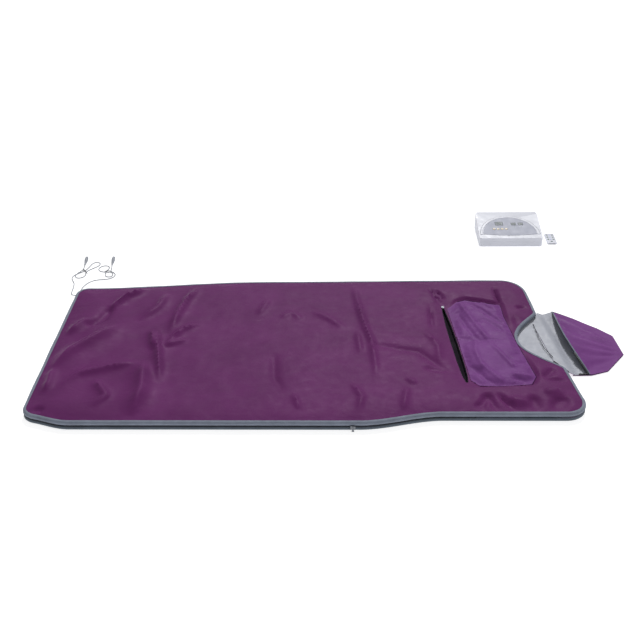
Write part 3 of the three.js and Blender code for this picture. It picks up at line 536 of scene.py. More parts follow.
class Plan:
    """Points and triangles that fill the first loop less the others, with rings near the edges."""

    def __init__(self, loops, step, insets=(0.005, 0.012)):
        self.loops = [np.array(loop, float) for loop in loops]
        points = [p for loop in self.loops for p in loop]
        edges, first = [], 0
        for loop in self.loops:
            edges += [(first + i, first + (i + 1) % len(loop)) for i in range(len(loop))]
            first += len(loop)
        reach = 0.0
        for inset in insets:
            for loop in self.loops:
                n = normals(loop)
                ring = np.vstack([loop + n * inset, loop - n * inset])
                ring = ring[inside(ring, self.loops)]
                points += list(ring[distance(ring, self.loops) > 0.93 * inset])
            reach = inset
        low, high = self.loops[0].min(0), self.loops[0].max(0)
        rows = int((high[1] - low[1]) / (step * 0.866)) + 2
        columns = int((high[0] - low[0]) / step) + 2
        grid = np.array([
            (low[0] + (i + 0.5 * (j % 2)) * step, low[1] + j * step * 0.866)
            for j in range(rows) for i in range(columns)
        ])
        grid = grid[inside(grid, self.loops)]
        points += list(grid[distance(grid, self.loops) > reach + 0.55 * step])
        found = geometry.delaunay_2d_cdt([Vector(p) for p in points], edges, [], 0, 1e-7)
        self.xy = np.array([v[:] for v in found[0]])
        triangles = np.array([f for f in found[2] if len(f) == 3])
        self.triangles = triangles[inside(self.xy[triangles].mean(1), self.loops)]
        directed = {(int(a), int(b)) for t in self.triangles for a, b in zip(t, np.roll(t, -1))}
        self.rim = [e for e in directed if (e[1], e[0]) not in directed]
        self.depth = distance(self.xy, self.loops)


def slab(name, plan, top, bottom, looks, wall_look=0):
    """A closed piece between two height fields over one plan. Looks are top, bottom and others."""
    n = len(plan.xy)
    verts = np.vstack([np.column_stack([plan.xy, top]), np.column_stack([plan.xy, bottom])])
    upper = plan.triangles.tolist()
    lower = (plan.triangles[:, ::-1] + n).tolist()
    walls = [(a + n, b + n, b, a) for a, b in plan.rim]
    mesh = bpy.data.meshes.new(name)
    mesh.from_pydata(verts.tolist(), [], upper + lower + walls)
    index = [0] * len(upper) + [min(1, len(looks) - 1)] * len(lower) + [wall_look] * len(walls)
    mesh.polygons.foreach_set("material_index", index)
    mesh.polygons.foreach_set("use_smooth", [True] * len(index))
    for look in looks:
        mesh.materials.append(look)
    mesh.update()
    mesh.set_sharp_from_angle(angle=math.radians(50))
    return placed(name, mesh)


def sweep(name, line, section, material, closed=True):
    """A strip along a plan line. section(i) gives the closed ring of (out, z) at station i."""
    out = -normals(line, closed) if area(line) > 0 or not closed else normals(line)
    rings = []
    for i, (p, n) in enumerate(zip(line, out)):
        rings.append([(p[0] + n[0] * o, p[1] + n[1] * o, z) for o, z in section(i)])
    k = len(rings[0])
    verts = [v for ring in rings for v in ring]
    count = len(rings)
    faces = []
    for s in range(count if closed else count - 1):
        t = (s + 1) % count
        for i in range(k):
            j = (i + 1) % k
            faces.append((s * k + i, s * k + j, t * k + j, t * k + i))
    if not closed:
        faces.append(tuple(range(k)))
        faces.append(tuple((count - 1) * k + i for i in reversed(range(k))))
    return mesh_object(name, verts, faces, material, sharp=60)


def area(loop):
    nxt = np.roll(loop, -1, 0)
    return 0.5 * float((loop[:, 0] * nxt[:, 1] - nxt[:, 0] * loop[:, 1]).sum())


def ripple(place, scale, seed=0.0):
    return noise.noise(Vector((place[0] * scale, place[1] * scale, seed)))


def field(xy, scale, seed=0.0, stretch=(1, 1), turn=0.0):
    """Smooth noise from -1 to 1 at each plan point, stretched along a turned axis."""
    c, s = math.cos(turn), math.sin(turn)
    u = (xy[:, 0] * c + xy[:, 1] * s) * scale * stretch[0]
    v = (xy[:, 1] * c - xy[:, 0] * s) * scale * stretch[1]
    return np.array([noise.noise(Vector((a, b, seed))) for a, b in zip(u, v)])


def smooth(t):
    t = np.clip(t, 0, 1)
    return t * t * (3 - 2 * t)


# ---------------------------------------------------------------- blanket outlines

FOOT_X, HEAD_X, HALF_W = -0.900, 0.890, 0.400
FOOT_R, HEAD_R = 0.040, 0.075
BINDING_T = 0.004
COVER_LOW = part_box("cover_lining")[0].z
COVER_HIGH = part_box("cover_outer_shell")[1].z
BASE_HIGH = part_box("base_lining")[1].z
# How far the head edge is drawn back on the middle line, and how much more per metre of Y.
HEAD_DRAWN, HEAD_SKEW = 0.025, 0.117
NECK = {"depth": 0.118, "half": 0.170, "middle": 0.022, "power": 1.3}


def step_up(x, low, high):
    """0 below low, 1 above high and a smooth step between them."""
    return float(smooth((x - low) / (high - low)))


def bowed(points):
    """The straight plan with its long edges bulged and its head edge drawn back, the far end the most."""
    out = []
    for x, y in points:
        near = 0.038 * step_up(x, FOOT_X, -0.740) - 0.046 * step_up(x, 0.180, 0.450)
        far = 0.046 * step_up(x, FOOT_X + FOOT_R, -0.180) + 0.008 * step_up(x, -0.180, 0.700)
        drawn = step_up(x, HEAD_X - 0.300, HEAD_X - 0.100) * (HEAD_DRAWN + HEAD_SKEW * y)
        out.append((x - drawn, y + (near if y < 0 else far) * y / HALF_W))
    return out


def outline(head_edge):
    return [
        *arc(FOOT_X + FOOT_R, -HALF_W + FOOT_R, FOOT_R, 270, 180),
        *arc(FOOT_X + FOOT_R, HALF_W - FOOT_R, FOOT_R, 180, 90),
        *arc(HEAD_X - HEAD_R, HALF_W - HEAD_R, HEAD_R, 90, 0),
        *head_edge,
        *arc(HEAD_X - HEAD_R, -HALF_W + HEAD_R, HEAD_R, 0, -90),
    ]


def neck_edge(steps=48):
    points = []
    for i in range(1, steps):
        u = 1 - 2 * i / steps
        depth = NECK["depth"] * (1 - u * u) ** NECK["power"]
        points.append((HEAD_X - depth, NECK["middle"] + u * NECK["half"]))
    return points


EDGE_STEP = 0.007
cover_loop = resample(bowed(resample(outline(neck_edge()), EDGE_STEP)), EDGE_STEP)
base_loop = resample(bowed(resample(outline([]), EDGE_STEP)), EDGE_STEP)

SLIT_FAR, SLIT_NEAR = Vector((0.500, 0.262)), Vector((0.540, -0.226))
SLIT_RUN = (SLIT_NEAR - SLIT_FAR).normalized()
SLIT_LENGTH = (SLIT_NEAR - SLIT_FAR).length


def slit_point(along, across):
    """A point `along` the slit from its far end and `across` it towards the head."""
    return (
        SLIT_FAR.x + SLIT_RUN.x * along - SLIT_RUN.y * across,
        SLIT_FAR.y + SLIT_RUN.y * along + SLIT_RUN.x * across,
    )


# The slit's lips: (metres along it, half the opening in millimetres).
SLIT_LIPS = [
    (0.001, 2), (0.05, 5.5), (0.13, 9.5), (0.22, 11), (0.36, 11), (0.45, 8.5), (SLIT_LENGTH - 0.001, 3),
]


def slit_half(along):
    """Half the width of the opening between its lips, which close towards its ends."""
    return float(np.interp(along, [a for a, _ in SLIT_LIPS], [h for _, h in SLIT_LIPS])) * MM


foot_lip = [slit_point(a, -slit_half(a)) for a, _ in SLIT_LIPS]
head_lip = [slit_point(a, slit_half(a)) for a, _ in SLIT_LIPS[::-1]]
slit_loop = resample(foot_lip + head_lip, EDGE_STEP * 0.7)
POUCH_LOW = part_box("pouch_back_panel")[0].z
POUCH_EDGE = [
    (0.580, -0.249), (0.652, -0.252), (0.751, -0.241), (0.772, -0.197), (0.739, 0.006), (0.718, 0.184),
    (0.716, 0.262), (0.588, 0.300), (0.558, 0.288),
]
POUCH_ACROSS = 0.0145
pouch_loop = resample(
    [slit_point(SLIT_LENGTH - 0.008, POUCH_ACROSS), *POUCH_EDGE, slit_point(0.026, POUCH_ACROSS)], 0.006
)

# ---------------------------------------------------------------- cover

# Creases of the cover: (height in mm, half-width in mm, points in metres). Heights below 0 are valleys.
CREASES = [
    (6.0, 34, [(-.86, -.15), (-.82, -.08), (-.74, .02), (-.67, .11)]),
    (3.5, 24, [(-.86, .06), (-.80, .16)]),
    (4.5, 14, [(-.74, .23), (-.69, .31), (-.63, .37)]),
    (3.6, 18, [(-.80, -.25), (-.76, -.20), (-.68, -.17), (-.56, -.13)]),
    (3.2, 16, [(-.86, -.16), (-.85, -.23), (-.85, -.29)]),
    (5.5, 26, [(-.55, -.13), (-.53, -.29), (-.54, -.40)]),
    (3.4, 12, [(-.56, .07), (-.53, -.05)]),
    (4.0, 13, [(-.54, .08), (-.51, -.08), (-.48, -.23)]),
    (3.4, 13, [(-.49, -.02), (-.45, .07), (-.39, .12)]),
    (2.6, 12, [(-.50, -.03), (-.42, .01)]),
    (3.8, 15, [(-.49, .07), (-.48, .18), (-.46, .29), (-.43, .38)]),
    (3.0, 16, [(-.61, .15), (-.56, .23), (-.54, .33)]),
    (3.2, 15, [(-.69, -.24), (-.64, -.32), (-.66, -.36)]),
    (2.4, 12, [(-.18, .18), (-.15, .29)]),
    (2.2, 13, [(-.09, .17), (-.06, .20), (-.03, .16)]),
    (2.6, 13, [(.02, .20), (.08, .15), (.13, .09)]),
    (3.8, 10, [(.17, .39), (.19, .22), (.21, .09), (.23, 0), (.24, -.15), (.24, -.21)]),
    (2.4, 9, [(.18, .07), (.19, -.07)]),
    (2.4, 9, [(.34, -.22), (.37, -.25)]),
    (2.6, 9, [(.34, -.27), (.32, -.38)]),
    (2.4, 9, [(-.03, -.31), (-.01, -.38)]),
    (2.8, 10, [(.16, -.25), (.19, -.32), (.18, -.39)]),
    (2.4, 10, [(.42, .07), (.46, -.02), (.46, -.11)]),
    (-5.0, 17, [(-.74, .24), (-.76, .16), (-.80, .11)]),
    (-3.5, 13, [(-.87, -.39), (-.83, -.38)]),
    (-2.6, 16, [(-.11, -.07), (-.10, -.21), (-.07, -.29)]),
    (-3.2, 16, [(.23, -.01), (.31, -.03), (.39, -.05), (.45, -.13), (.49, -.17)]),
    (-5.0, 5.5, [(.71, .385), (.71, .34), (.715, .25)]),
    (-3.6, 7, [(.46, .38), (.50, .26)]),
    (-3.2, 6, [(.48, .37), (.51, .30)]),
    (-2.6, 7, [(.455, .25), (.45, .09)]),
    (-4.0, 8, [(.60, -.30), (.58, -.34), (.55, -.37)]),
    (-3.6, 7, [(.60, -.30), (.61, -.36), (.63, -.39)]),
    (-3.0, 6, [(.59, -.30), (.57, -.39)]),
    (-4.2, 8, [(.63, -.30), (.68, -.39)]),
    (-3.6, 12, [(.79, -.21), (.81, -.19), (.84, -.15)]),
    (-3.2, 9, [(.80, -.22), (.87, -.22)]),
    (-4.2, 18, [(.74, -.31), (.74, -.35), (.75, -.39)]),
    (-4.8, 20, [(.80, -.385), (.82, -.34), (.85, -.32)]),
    (-3.0, 10, [(.77, .24), (.81, .24)]),
    (-2.6, 10, [(.76, .17), (.76, .07)]),
    (-2.6, 12, [(.40, -.15), (.48, -.17)]),
    (3.0, 24, [(.78, -.30), (.84, -.28)]),
    (2.8, 20, [(.66, -.33), (.72, -.35)]),
]
PUFF = {"rim": COVER_HIGH / MM - 1.4, "rise": 13.0, "reach": 42.0}


def puff(depth):
    """Height of the cover's top, in metres, at a distance from its edge."""
    t = np.asarray(depth) / MM / PUFF["reach"]
    return (PUFF["rim"] + PUFF["rise"] * (1 - np.exp(-(t**1.3)))) * MM


def creases(xy):
    total = np.zeros(len(xy))
    for height, width, line in CREASES:
        d = distance(xy, [line], closed=False) / (width * MM)
        path = np.array(line)
        half = np.linalg.norm(np.diff(path, axis=0), axis=1).sum() / 2
        from_middle = np.linalg.norm(xy - (path[0] + path[-1]) / 2, axis=1) / half
        fade = 1 - smooth((from_middle - 0.4) / 0.8)
        total += 3.1 * height * fade * MM * np.exp(-(np.maximum(d, 0.02) ** 1.35))
    return total * (1.15 + 0.5 * smooth((-0.30 - xy[:, 0]) / 0.2))


def make_cover():
    plan = Plan([cover_loop, slit_loop], 0.0085)
    xy = plan.xy
    calm = smooth(plan.depth / 0.045)
    waves = (
        2.4 * field(xy, 3.2, 1.0, (1.5, 0.8), 0.35)
        + 1.5 * field(xy, 8.0, 2.0, (1.5, 0.7), 0.3)
        + 0.8 * field(xy, 19.0, 3.0, (1.3, 0.8), -0.3)
    ) * MM
    foot = smooth((-0.25 - xy[:, 0]) / 0.3)
    waves += foot * 1.7 * MM * field(xy, 11, 5.0, (0.5, 1.6), 0.9)
    pucker = np.exp(-((plan.depth / 0.028) ** 2)) * smooth(plan.depth / 0.008)
    edge_waves = pucker * 1.5 * MM * field(xy, 34, 6.0)
    top = puff(plan.depth) + calm * (waves + creases(xy)) + edge_waves
    in_pouch = np.where(inside(xy, [pouch_loop]), 0.0, distance(xy, [pouch_loop]))
    rest = smooth(in_pouch / 0.016)
    top = np.where(in_pouch < 0.016, (POUCH_LOW - 0.5 * MM) * (1 - rest) + top * rest, top)
    top = np.maximum(top, COVER_HIGH - 1.9 * MM)
    inner = smooth(plan.depth / 0.03)
    bottom = COVER_LOW + 0.1 * MM + inner * (1.0 + 0.9 * field(xy, 22, 7.0)) * MM * 0.8
    looks = [LOOKS["cover_nylon"], LOOKS["lining"], LOOKS["zip_tape"]]
    cover = slab("cover_quilt", plan, top, bottom, looks, wall_look=2)
    finish_piece(cover, "cover_nylon", "cover_outer_shell", "cover_lining", body="cover")


def make_base():
    plan = Plan([base_loop], 0.012)
    xy = plan.xy
    inner = smooth(plan.depth / 0.03)
    wrinkles = (0.6 + 0.9 * field(xy, 9, 11.0) + 0.6 * field(xy, 24, 12.0, (1, 1.5), 0.5)) * MM
    top = BASE_HIGH + 0.1 * MM + inner * np.clip(wrinkles, 0, 1.9 * MM)
    bottom = np.full(len(xy), 0.0)
    base = slab("base_quilt", plan, top, bottom, [LOOKS["lining"], LOOKS["cover_nylon"]], wall_look=1)
    finish_piece(base, "lining", "base_outer_shell", "base_lining", body="base")


FLAP = 0.0075


def binding_section(place, low, high, seed, sag):
    """The ring of (out, z) of a binding strip folded round an edge, with its own small waves, in metres."""
    w = ripple(place, 17, seed)
    v = ripple(place, 52, seed + 1)
    lean = sag * ripple(place, 7, seed + 2)
    flap = -FLAP / MM + 0.5 * v
    mid = (low + high) / 2
    ring = [
        (flap, high - 0.6), (flap + 0.2, high + 0.75), (-3.4, high + 0.8 + 0.3 * v),
        (-0.6 + lean, high + 0.5 + 0.3 * w), (2.2 + lean, high - 1.2 + 0.5 * w),
        (3.9 + 0.5 * v + lean, high - 3.4 + w), (4.4 + 0.6 * w + lean, mid),
        (3.8 + 0.5 * v, low + 3.0), (2.4, low + 0.9), (0.4, low + 0.1), (-7, low), (-7, low + 0.4),
        (-1.4, low + 0.8), (-1.2, mid), (-1.4, high - 0.9),
    ]
    return [(o * MM, z * MM) for o, z in ring]


def make_binding(side, loop, low, high, seed, sag, look):
    binding = sweep(
        f"{side}_edge_binding", loop, lambda i: binding_section(loop[i], low / MM, high / MM, seed, sag), look
    )
    finish_piece(binding, "binding", f"{side}_binding", body=side, look=look)


make_cover()
make_base()
make_binding("cover", cover_loop, COVER_LOW - 0.1 * MM, COVER_HIGH, 21.0, 2.2, LOOKS["binding"])
# The base's binding takes the darkened binding colour: painted shade.
make_binding("base", base_loop, 0.02 * MM, BASE_HIGH, 31.0, 3.0, SHADED_BINDING)

# ---------------------------------------------------------------- zips

ZIP_START_X, ZIP_FOOT_END_Y = 0.550, 0.340
TOOTH_PITCH = 0.0032


def zip_line(inset):
    return [
        (ZIP_START_X, -HALF_W + inset),
        *arc(FOOT_X + FOOT_R, -HALF_W + FOOT_R, FOOT_R - inset, 270, 180),
        (FOOT_X + inset, ZIP_FOOT_END_Y),
    ]


def blocks(name, places, material):
    """Small chamfered blocks: each place is (middle, run, across, length, width, low, high)."""
    verts, faces = [], []
    for middle, run, across, length, width, low, high in places:
        first = len(verts)
        rise = 0.25 * (high - low)
        for z, trim in ((low, 0.8), (low + rise, 1.0), (high - rise, 1.0), (high, 0.7)):
            for a, b in ((-1, -1), (1, -1), (1, 1), (-1, 1)):
                p = middle + run * a * trim * length / 2 + across * b * trim * width / 2
                verts.append((p[0], p[1], z))
        for level in range(3):
            for i in range(4):
                j = (i + 1) % 4
                k = first + level * 4
                faces.append((k + i, k + j, k + 4 + j, k + 4 + i))
        faces.append(tuple(first + i for i in (3, 2, 1, 0)))
        faces.append(tuple(first + 12 + i for i in range(4)))
    return mesh_object(name, verts, faces, material, smooth=False)


def make_main_zip():
    line = resample(bowed(resample(zip_line(-0.001), EDGE_STEP, closed=False)), TOOTH_PITCH / 2, closed=False)
    out = normals(line, closed=False)
    rows = {"base": [], "cover": []}
    for i, (p, n) in enumerate(zip(line, out)):
        side = ("base", "cover")[i % 2]
        low, high = ((0.6, 4.2) if side == "base" else (1.6, 5.2))
        run = np.array([n[1], -n[0]])
        rows[side].append((p, run, n, 1.5 * MM, 3.6 * MM, BASE_HIGH + low * MM, BASE_HIGH + high * MM))
    for side, places in rows.items():
        teeth = blocks(f"{side}_zip_teeth", places, LOOKS["zip_tape"])
        finish_piece(teeth, "zip_tape", body=side)


def bevelled(name, corners_low, corners_high, radius, material, taper=None):
    """A box with rounded edges; taper(x, y, z) may move its points before the rounding."""
    bm = bmesh.new()
    bmesh.ops.create_cube(bm, size=1)
    low, high = Vector(corners_low), Vector(corners_high)
    for v in bm.verts:
        v.co = Vector(low[k] + (v.co[k] + 0.5) * (high[k] - low[k]) for k in range(3))
    bmesh.ops.subdivide_edges(bm, edges=bm.edges, cuts=2, use_grid_fill=True)
    if taper:
        for v in bm.verts:
            v.co = Vector(taper(*v.co))
    sharp = [e for e in bm.edges if len(e.link_faces) == 2 and e.calc_face_angle() > 0.7]
    bmesh.ops.bevel(bm, geom=sharp, offset=radius, segments=3, affect="EDGES", clamp_overlap=True)
    mesh = bpy.data.meshes.new(name)
    bm.to_mesh(mesh)
    bm.free()
    mesh.materials.append(material)
    mesh.polygons.foreach_set("use_smooth", [True] * len(mesh.polygons))
    mesh.set_sharp_from_angle(angle=math.radians(35))
    return placed(name, mesh)


def joined(name, parts):
    """Several pieces made into one, under a new name."""
    bm = bmesh.new()
    materials = []
    for part in parts:
        start = len(bm.faces)
        bm.from_mesh(part.data)
        bm.faces.ensure_lookup_table()
        for m in part.data.materials:
            if m not in materials:
                materials.append(m)
        slots = [materials.index(m) for m in part.data.materials]
        for face in bm.faces[start:]:
            face.material_index = slots[face.material_index]
    mesh = bpy.data.meshes.new(name)
    bm.to_mesh(mesh)
    bm.free()
    for m in materials:
        mesh.materials.append(m)
    for part in parts:
        bpy.data.objects.remove(part)
    return placed(name, mesh)


def make_slider():
    low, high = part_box("zip_slider")
    middle = (low + high) / 2

    def nose(x, y, z):
        t = (x - low.x) / (high.x - low.x)
        pinch = 1 - 0.35 * smooth(np.array((t - 0.45) / 0.55))
        return x, y, middle.z + (z - middle.z) * float(pinch)

    steel = LOOKS["zip_metal"]
    plate = bevelled("slider_plate", low, (high.x, low.y + 0.0019, high.z), 0.0006, steel, taper=nose)
    back = bevelled("slider_back", (low.x, high.y - 0.0013, low.z), high, 0.0005, steel, taper=nose)
    post = bevelled(
        "slider_post", (middle.x - 0.003, low.y + 0.001, middle.z - 0.002),
        (middle.x + 0.003, high.y - 0.0005, middle.z + 0.002), 0.0006, steel,
    )
    slider = joined("zip_slider_body", [plate, back, post])
    finish_piece(slider, "zip_metal", "zip_slider", body="zip_slider")
    low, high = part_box("zip_pull")
    profile = [
        (0.0024, 0.0), (0.0034, 0.0035), (0.0026, 0.009), (0.0031, 0.014), (0.004, 0.0176), (0.0032, 0.0201),
    ]
    loop = [(middle.x + w, high.z - h) for w, h in profile]
    loop += [(middle.x - w, high.z - h) for w, h in reversed(profile)]
    hole = arc(middle.x, high.z - 0.0035, 0.0014, 0, 330, 11)
    plan = Plan([resample(loop, 0.0009), hole], 0.0011, insets=(0.0004,))
    thick = 0.0008 + 0.0004 * smooth(plan.depth / 0.0009) - 0.0003 * smooth((plan.depth - 0.0012) / 0.0006)
    pull = slab("zip_pull_tag", plan, thick, -thick, [LOOKS["zip_metal"]])
    mid_y = (low.y + high.y) / 2
    for v in pull.data.vertices:
        x, z, y = v.co
        v.co = (x, mid_y + y * 0.85, z)
    pull.data.flip_normals()
    finish_piece(pull, "zip_metal", "zip_pull", body="zip_pull")


def make_arm_zip():
    tape_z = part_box("arm_zip_tape")[0].z
    places = []
    count = int(SLIT_LENGTH / 0.0024)
    run = np.array(SLIT_RUN)
    across = np.array((-SLIT_RUN.y, SLIT_RUN.x))
    for side in (-1, 1):
        for i in range(count):
            along = (i + 0.5) * SLIT_LENGTH / count
            p = np.array(slit_point(along, side * (slit_half(along) + 0.0002)))
            places.append((p, run, across, 1.2 * MM, 2.2 * MM, tape_z - 3.2 * MM, tape_z - 0.6 * MM))
    teeth = blocks("arm_zip_teeth", places, LOOKS["zip_tape"])
    finish_piece(teeth, "zip_tape", "arm_zip_tape", body="cover")
    # A near-black sheet lies under the slit as painted shade, so that the opening looks dark.
    shade_sheet_loop = resample(
        [slit_point(-0.012, -0.020), slit_point(-0.012, 0.020), slit_point(SLIT_LENGTH + 0.012, 0.020),
         slit_point(SLIT_LENGTH + 0.012, -0.020)], 0.006)
    plan = Plan([shade_sheet_loop], 0.008, insets=())
    sag = 0.7 * MM * (field(plan.xy, 30, 71.0) - 1) * smooth(plan.depth / 0.01)
    shade_sheet = slab("arm_slit_painted_shade_sheet", plan, COVER_LOW - 0.3 * MM + sag, COVER_LOW - 1.2 * MM + sag, [SLIT_PAINTED_SHADE])
    finish_piece(shade_sheet, "zip_tape", body="cover", look=SLIT_PAINTED_SHADE)
    low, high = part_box("arm_zip_slider")

    def along_slit(x, y, z):
        wide = 1 - 0.4 * float(smooth(np.array((x - 0.012) / 0.008)))
        return (*slit_point(x, y * wide), z)

    plate = bevelled("arm_slider_plate", (0.006, -0.0048, low.z), (0.020, 0.0048, low.z + 0.0011), 0.0004,
                     LOOKS["zip_metal"], taper=along_slit)
    bridge = bevelled("arm_slider_bridge", (0.010, -0.0012, low.z + 0.0009), (0.017, 0.0012, high.z), 0.0004,
                      LOOKS["zip_metal"], taper=along_slit)
    slider = joined("arm_slider_body", [plate, bridge])
    finish_piece(slider, "zip_metal", "arm_zip_slider", body="arm_zip_slider")


make_main_zip()
make_slider()
make_arm_zip()

# ---------------------------------------------------------------- pouch


def inflate(piece, held, pressure, limit, slack=-0.02):
    """Swells a closed cloth piece by simulation: `held` vertices stay, `limit` caps each move."""
    scene = bpy.context.scene
    before = np.array([v.co for v in piece.data.vertices])
    group = piece.vertex_groups.new(name="held")
    group.add([int(i) for i in held], 1.0, "REPLACE")
    cloth = piece.modifiers.new("Cloth", "CLOTH")
    settings = cloth.settings
    settings.use_pressure = True
    settings.uniform_pressure_force = pressure
    settings.vertex_group_mass = "held"
    settings.quality = 6
    settings.mass = 0.25
    settings.tension_stiffness = settings.compression_stiffness = 18
    settings.bending_stiffness = 0.12
    settings.shrink_min = slack
    settings.effector_weights.gravity = 0
    cloth.collision_settings.use_collision = False
    cloth.point_cache.frame_start = 1
    cloth.point_cache.frame_end = 24
    for frame_number in range(1, 21):
        scene.frame_set(frame_number)
    shaped = piece.evaluated_get(bpy.context.evaluated_depsgraph_get())
    after = np.array([v.co for v in shaped.data.vertices])
    piece.modifiers.clear()
    scene.frame_set(1)
    move = after - before
    size = np.maximum(np.linalg.norm(move, axis=1), 1e-9)
    move *= (limit * np.tanh(size / limit) / size)[:, None]
    piece.data.vertices.foreach_set("co", (before + move).ravel())
    piece.data.update()


POUCH_CREASES = [
    (5.0, 8, [(.566, .262), (.590, .17), (.620, .07), (.655, -.03), (.700, -.15)]),
    (-4.5, 7, [(.552, .20), (.575, .10), (.600, .03)]),
    (-5.0, 7, [(.595, .280), (.650, .205), (.700, .135)]),
    (4.0, 8, [(.640, .275), (.680, .23), (.708, .20)]),
    (-3.4, 7, [(.62, .05), (.665, -.04), (.70, -.11)]),
    (3.4, 8, [(.600, .05), (.585, -.06), (.600, -.16)]),
    (-4.6, 9, [(.570, -.150), (.600, -.215), (.625, -.240)]),
    (3.6, 8, [(.600, -.150), (.650, -.225)]),
    (-4.4, 8, [(.700, -.215), (.740, -.228)]),
    (3.4, 8, [(.700, -.195), (.755, -.205)]),
    (-3.0, 8, [(.60, .12), (.640, .15), (.70, .08)]),
]


def make_pouch():
    plan = Plan([pouch_loop], 0.0065, insets=(0.003, 0.008))
    xy = plan.xy
    floor_z = POUCH_LOW + 0.2 * MM
    rim = 1.5 * MM
    swell = smooth(plan.depth / 0.03)
    top = floor_z + rim + 3.5 * MM * swell
    bottom = np.full(len(xy), floor_z)
    pouch = slab("arm_pouch", plan, top, bottom, [LOOKS["hood_nylon"]])
    n = len(xy)
    inflate(pouch, range(n, 2 * n), pressure=2.6, limit=11 * MM)
    co = np.array([v.co for v in pouch.data.vertices])
    co[n:, :] = np.column_stack([xy, bottom])
    gain = smooth(plan.depth / 0.02)
    folds = np.zeros(n)
    for height, width, line in POUCH_CREASES:
        d = distance(xy, [line], closed=False) / (width * MM)
        folds += 1.5 * height * MM * np.exp(-(d**1.5))
    folds += (1.5 * field(xy, 9, 41.0, (1.7, 0.6), -0.25) + 1.0 * field(xy, 26, 42.0, (1.4, 0.7), -0.35)) * MM
    co[:n, 2] = np.maximum(co[:n, 2] + gain * folds, floor_z + 0.9 * MM)
    co[:n, :2] = xy + (co[:n, :2] - xy) * 0.3
    pouch.data.vertices.foreach_set("co", co.ravel())
    pouch.data.update()
    finish_piece(pouch, "hood_nylon", "pouch_back_panel", "pouch_front_panel", body="pouch")
    # The pouch's hem is drawn dark violet as painted shadow along the pouch's free edge.
    rim_line = [Vector((p[0], p[1], floor_z + 1.1 * MM)) for p in resample(POUCH_EDGE, 0.004, closed=False)]
    strand("pouch_hem_painted_shadow", rim_line, 1.1 * MM, "hood_nylon", "pouch", DARK_VIOLET)


make_pouch()

# ---------------------------------------------------------------- hood

HOOD_FLAT_X = HEAD_X + BINDING_T + 0.012
HOOD_EDGE = [
    (HOOD_FLAT_X, 0.246), (0.978, 0.200), (1.052, 0.143), (1.096, 0.092), (1.106, -0.026), (1.030, -0.125),
    (0.970, -0.148), (HOOD_FLAT_X, -0.150),
]
ROOT_FAR, ROOT_NEAR = (0.822, 0.160), (0.856, -0.100)
MOUTH = [(0.963, -0.145), (0.914, 0.038), (0.908, 0.240)]


MOUTH_RISE, HOOD_REST = 31 * MM, 4.4 * MM  # height of the mouth's arch, and what it starts from


def mouth_line(steps):
    near, middle, far = (np.array(p) for p in MOUTH)
    control = 2 * middle - (near + far) / 2
    t = np.linspace(0, 1, steps + 1)[:, None]
    return (1 - t) ** 2 * near + 2 * t * (1 - t) * control + t**2 * far


def far_lift(x, y):
    """The hood's far side stands up off the floor towards its mouth."""
    return 10 * MM * smooth((y - 0.02) / 0.2) * (1 - smooth((x - 0.905) / 0.16)) * smooth((x - 0.865) / 0.05)


def make_hood_lining():
    """The lining runs from its seam on the base's lining, over the head edge and out along the floor."""
    loop = [ROOT_FAR, (0.850, 0.238), *HOOD_EDGE, (0.890, -0.146), ROOT_NEAR]
    plan = Plan([resample(loop, 0.006)], 0.008, insets=(0.004,))
    xy = plan.xy
    on_base = BASE_HIGH + 1.7 * MM
    on_floor = 1.6 * MM
    head_x = HEAD_X - HEAD_DRAWN - HEAD_SKEW * xy[:, 1]
    fall = smooth((xy[:, 0] - head_x - 0.008) / 0.034)
    middle = on_base * (1 - fall) + on_floor * fall
    calm = smooth(plan.depth / 0.03)
    gathers = 1.6 * field(xy, 16, 51.0, (0.7, 1.5), 0.2) + 1.0 * field(xy, 38, 52.0, (0.6, 1.6), 0.15)
    middle += far_lift(xy[:, 0], xy[:, 1])
    middle += calm * (1.2 + np.maximum(gathers, -1.2)) * MM
    half = 0.9 * MM
    under = inside(xy, [cover_loop]) | (distance(xy, [cover_loop]) < 0.012)
    middle = np.where(under, np.minimum(middle, COVER_LOW - 0.6 * MM - half), middle)
    bottom = np.maximum(middle - half, 0.3 * MM)
    looks = [LOOKS["lining"], LOOKS["hood_nylon"]]
    piece = slab("hood_lining_panel", plan, bottom + 2 * half, bottom, looks, 1)
    finish_piece(piece, "lining", "hood_root_panel", "hood_back_panel")
    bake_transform(piece)
    seam = [Vector((x, y, BASE_HIGH + 6.2 * MM)) for x, y in
            resample([(0.8225, 0.150), (0.826, 0.07), (0.833, 0.0), (0.854, -0.062)], 0.004, closed=False)]
    strand("hood_root_seam", seam, 1.0 * MM, "zip_tape", "base")
    hem_line = resample([(0.854, -0.080), (0.872, -0.112), (0.892, -0.143)], 0.004, closed=False)
    hem = [Vector((x, y, BASE_HIGH + 3.2 * MM)) for x, y in hem_line]
    strand("hood_root_hem", hem, 1.9 * MM, "black_plastic", "base")


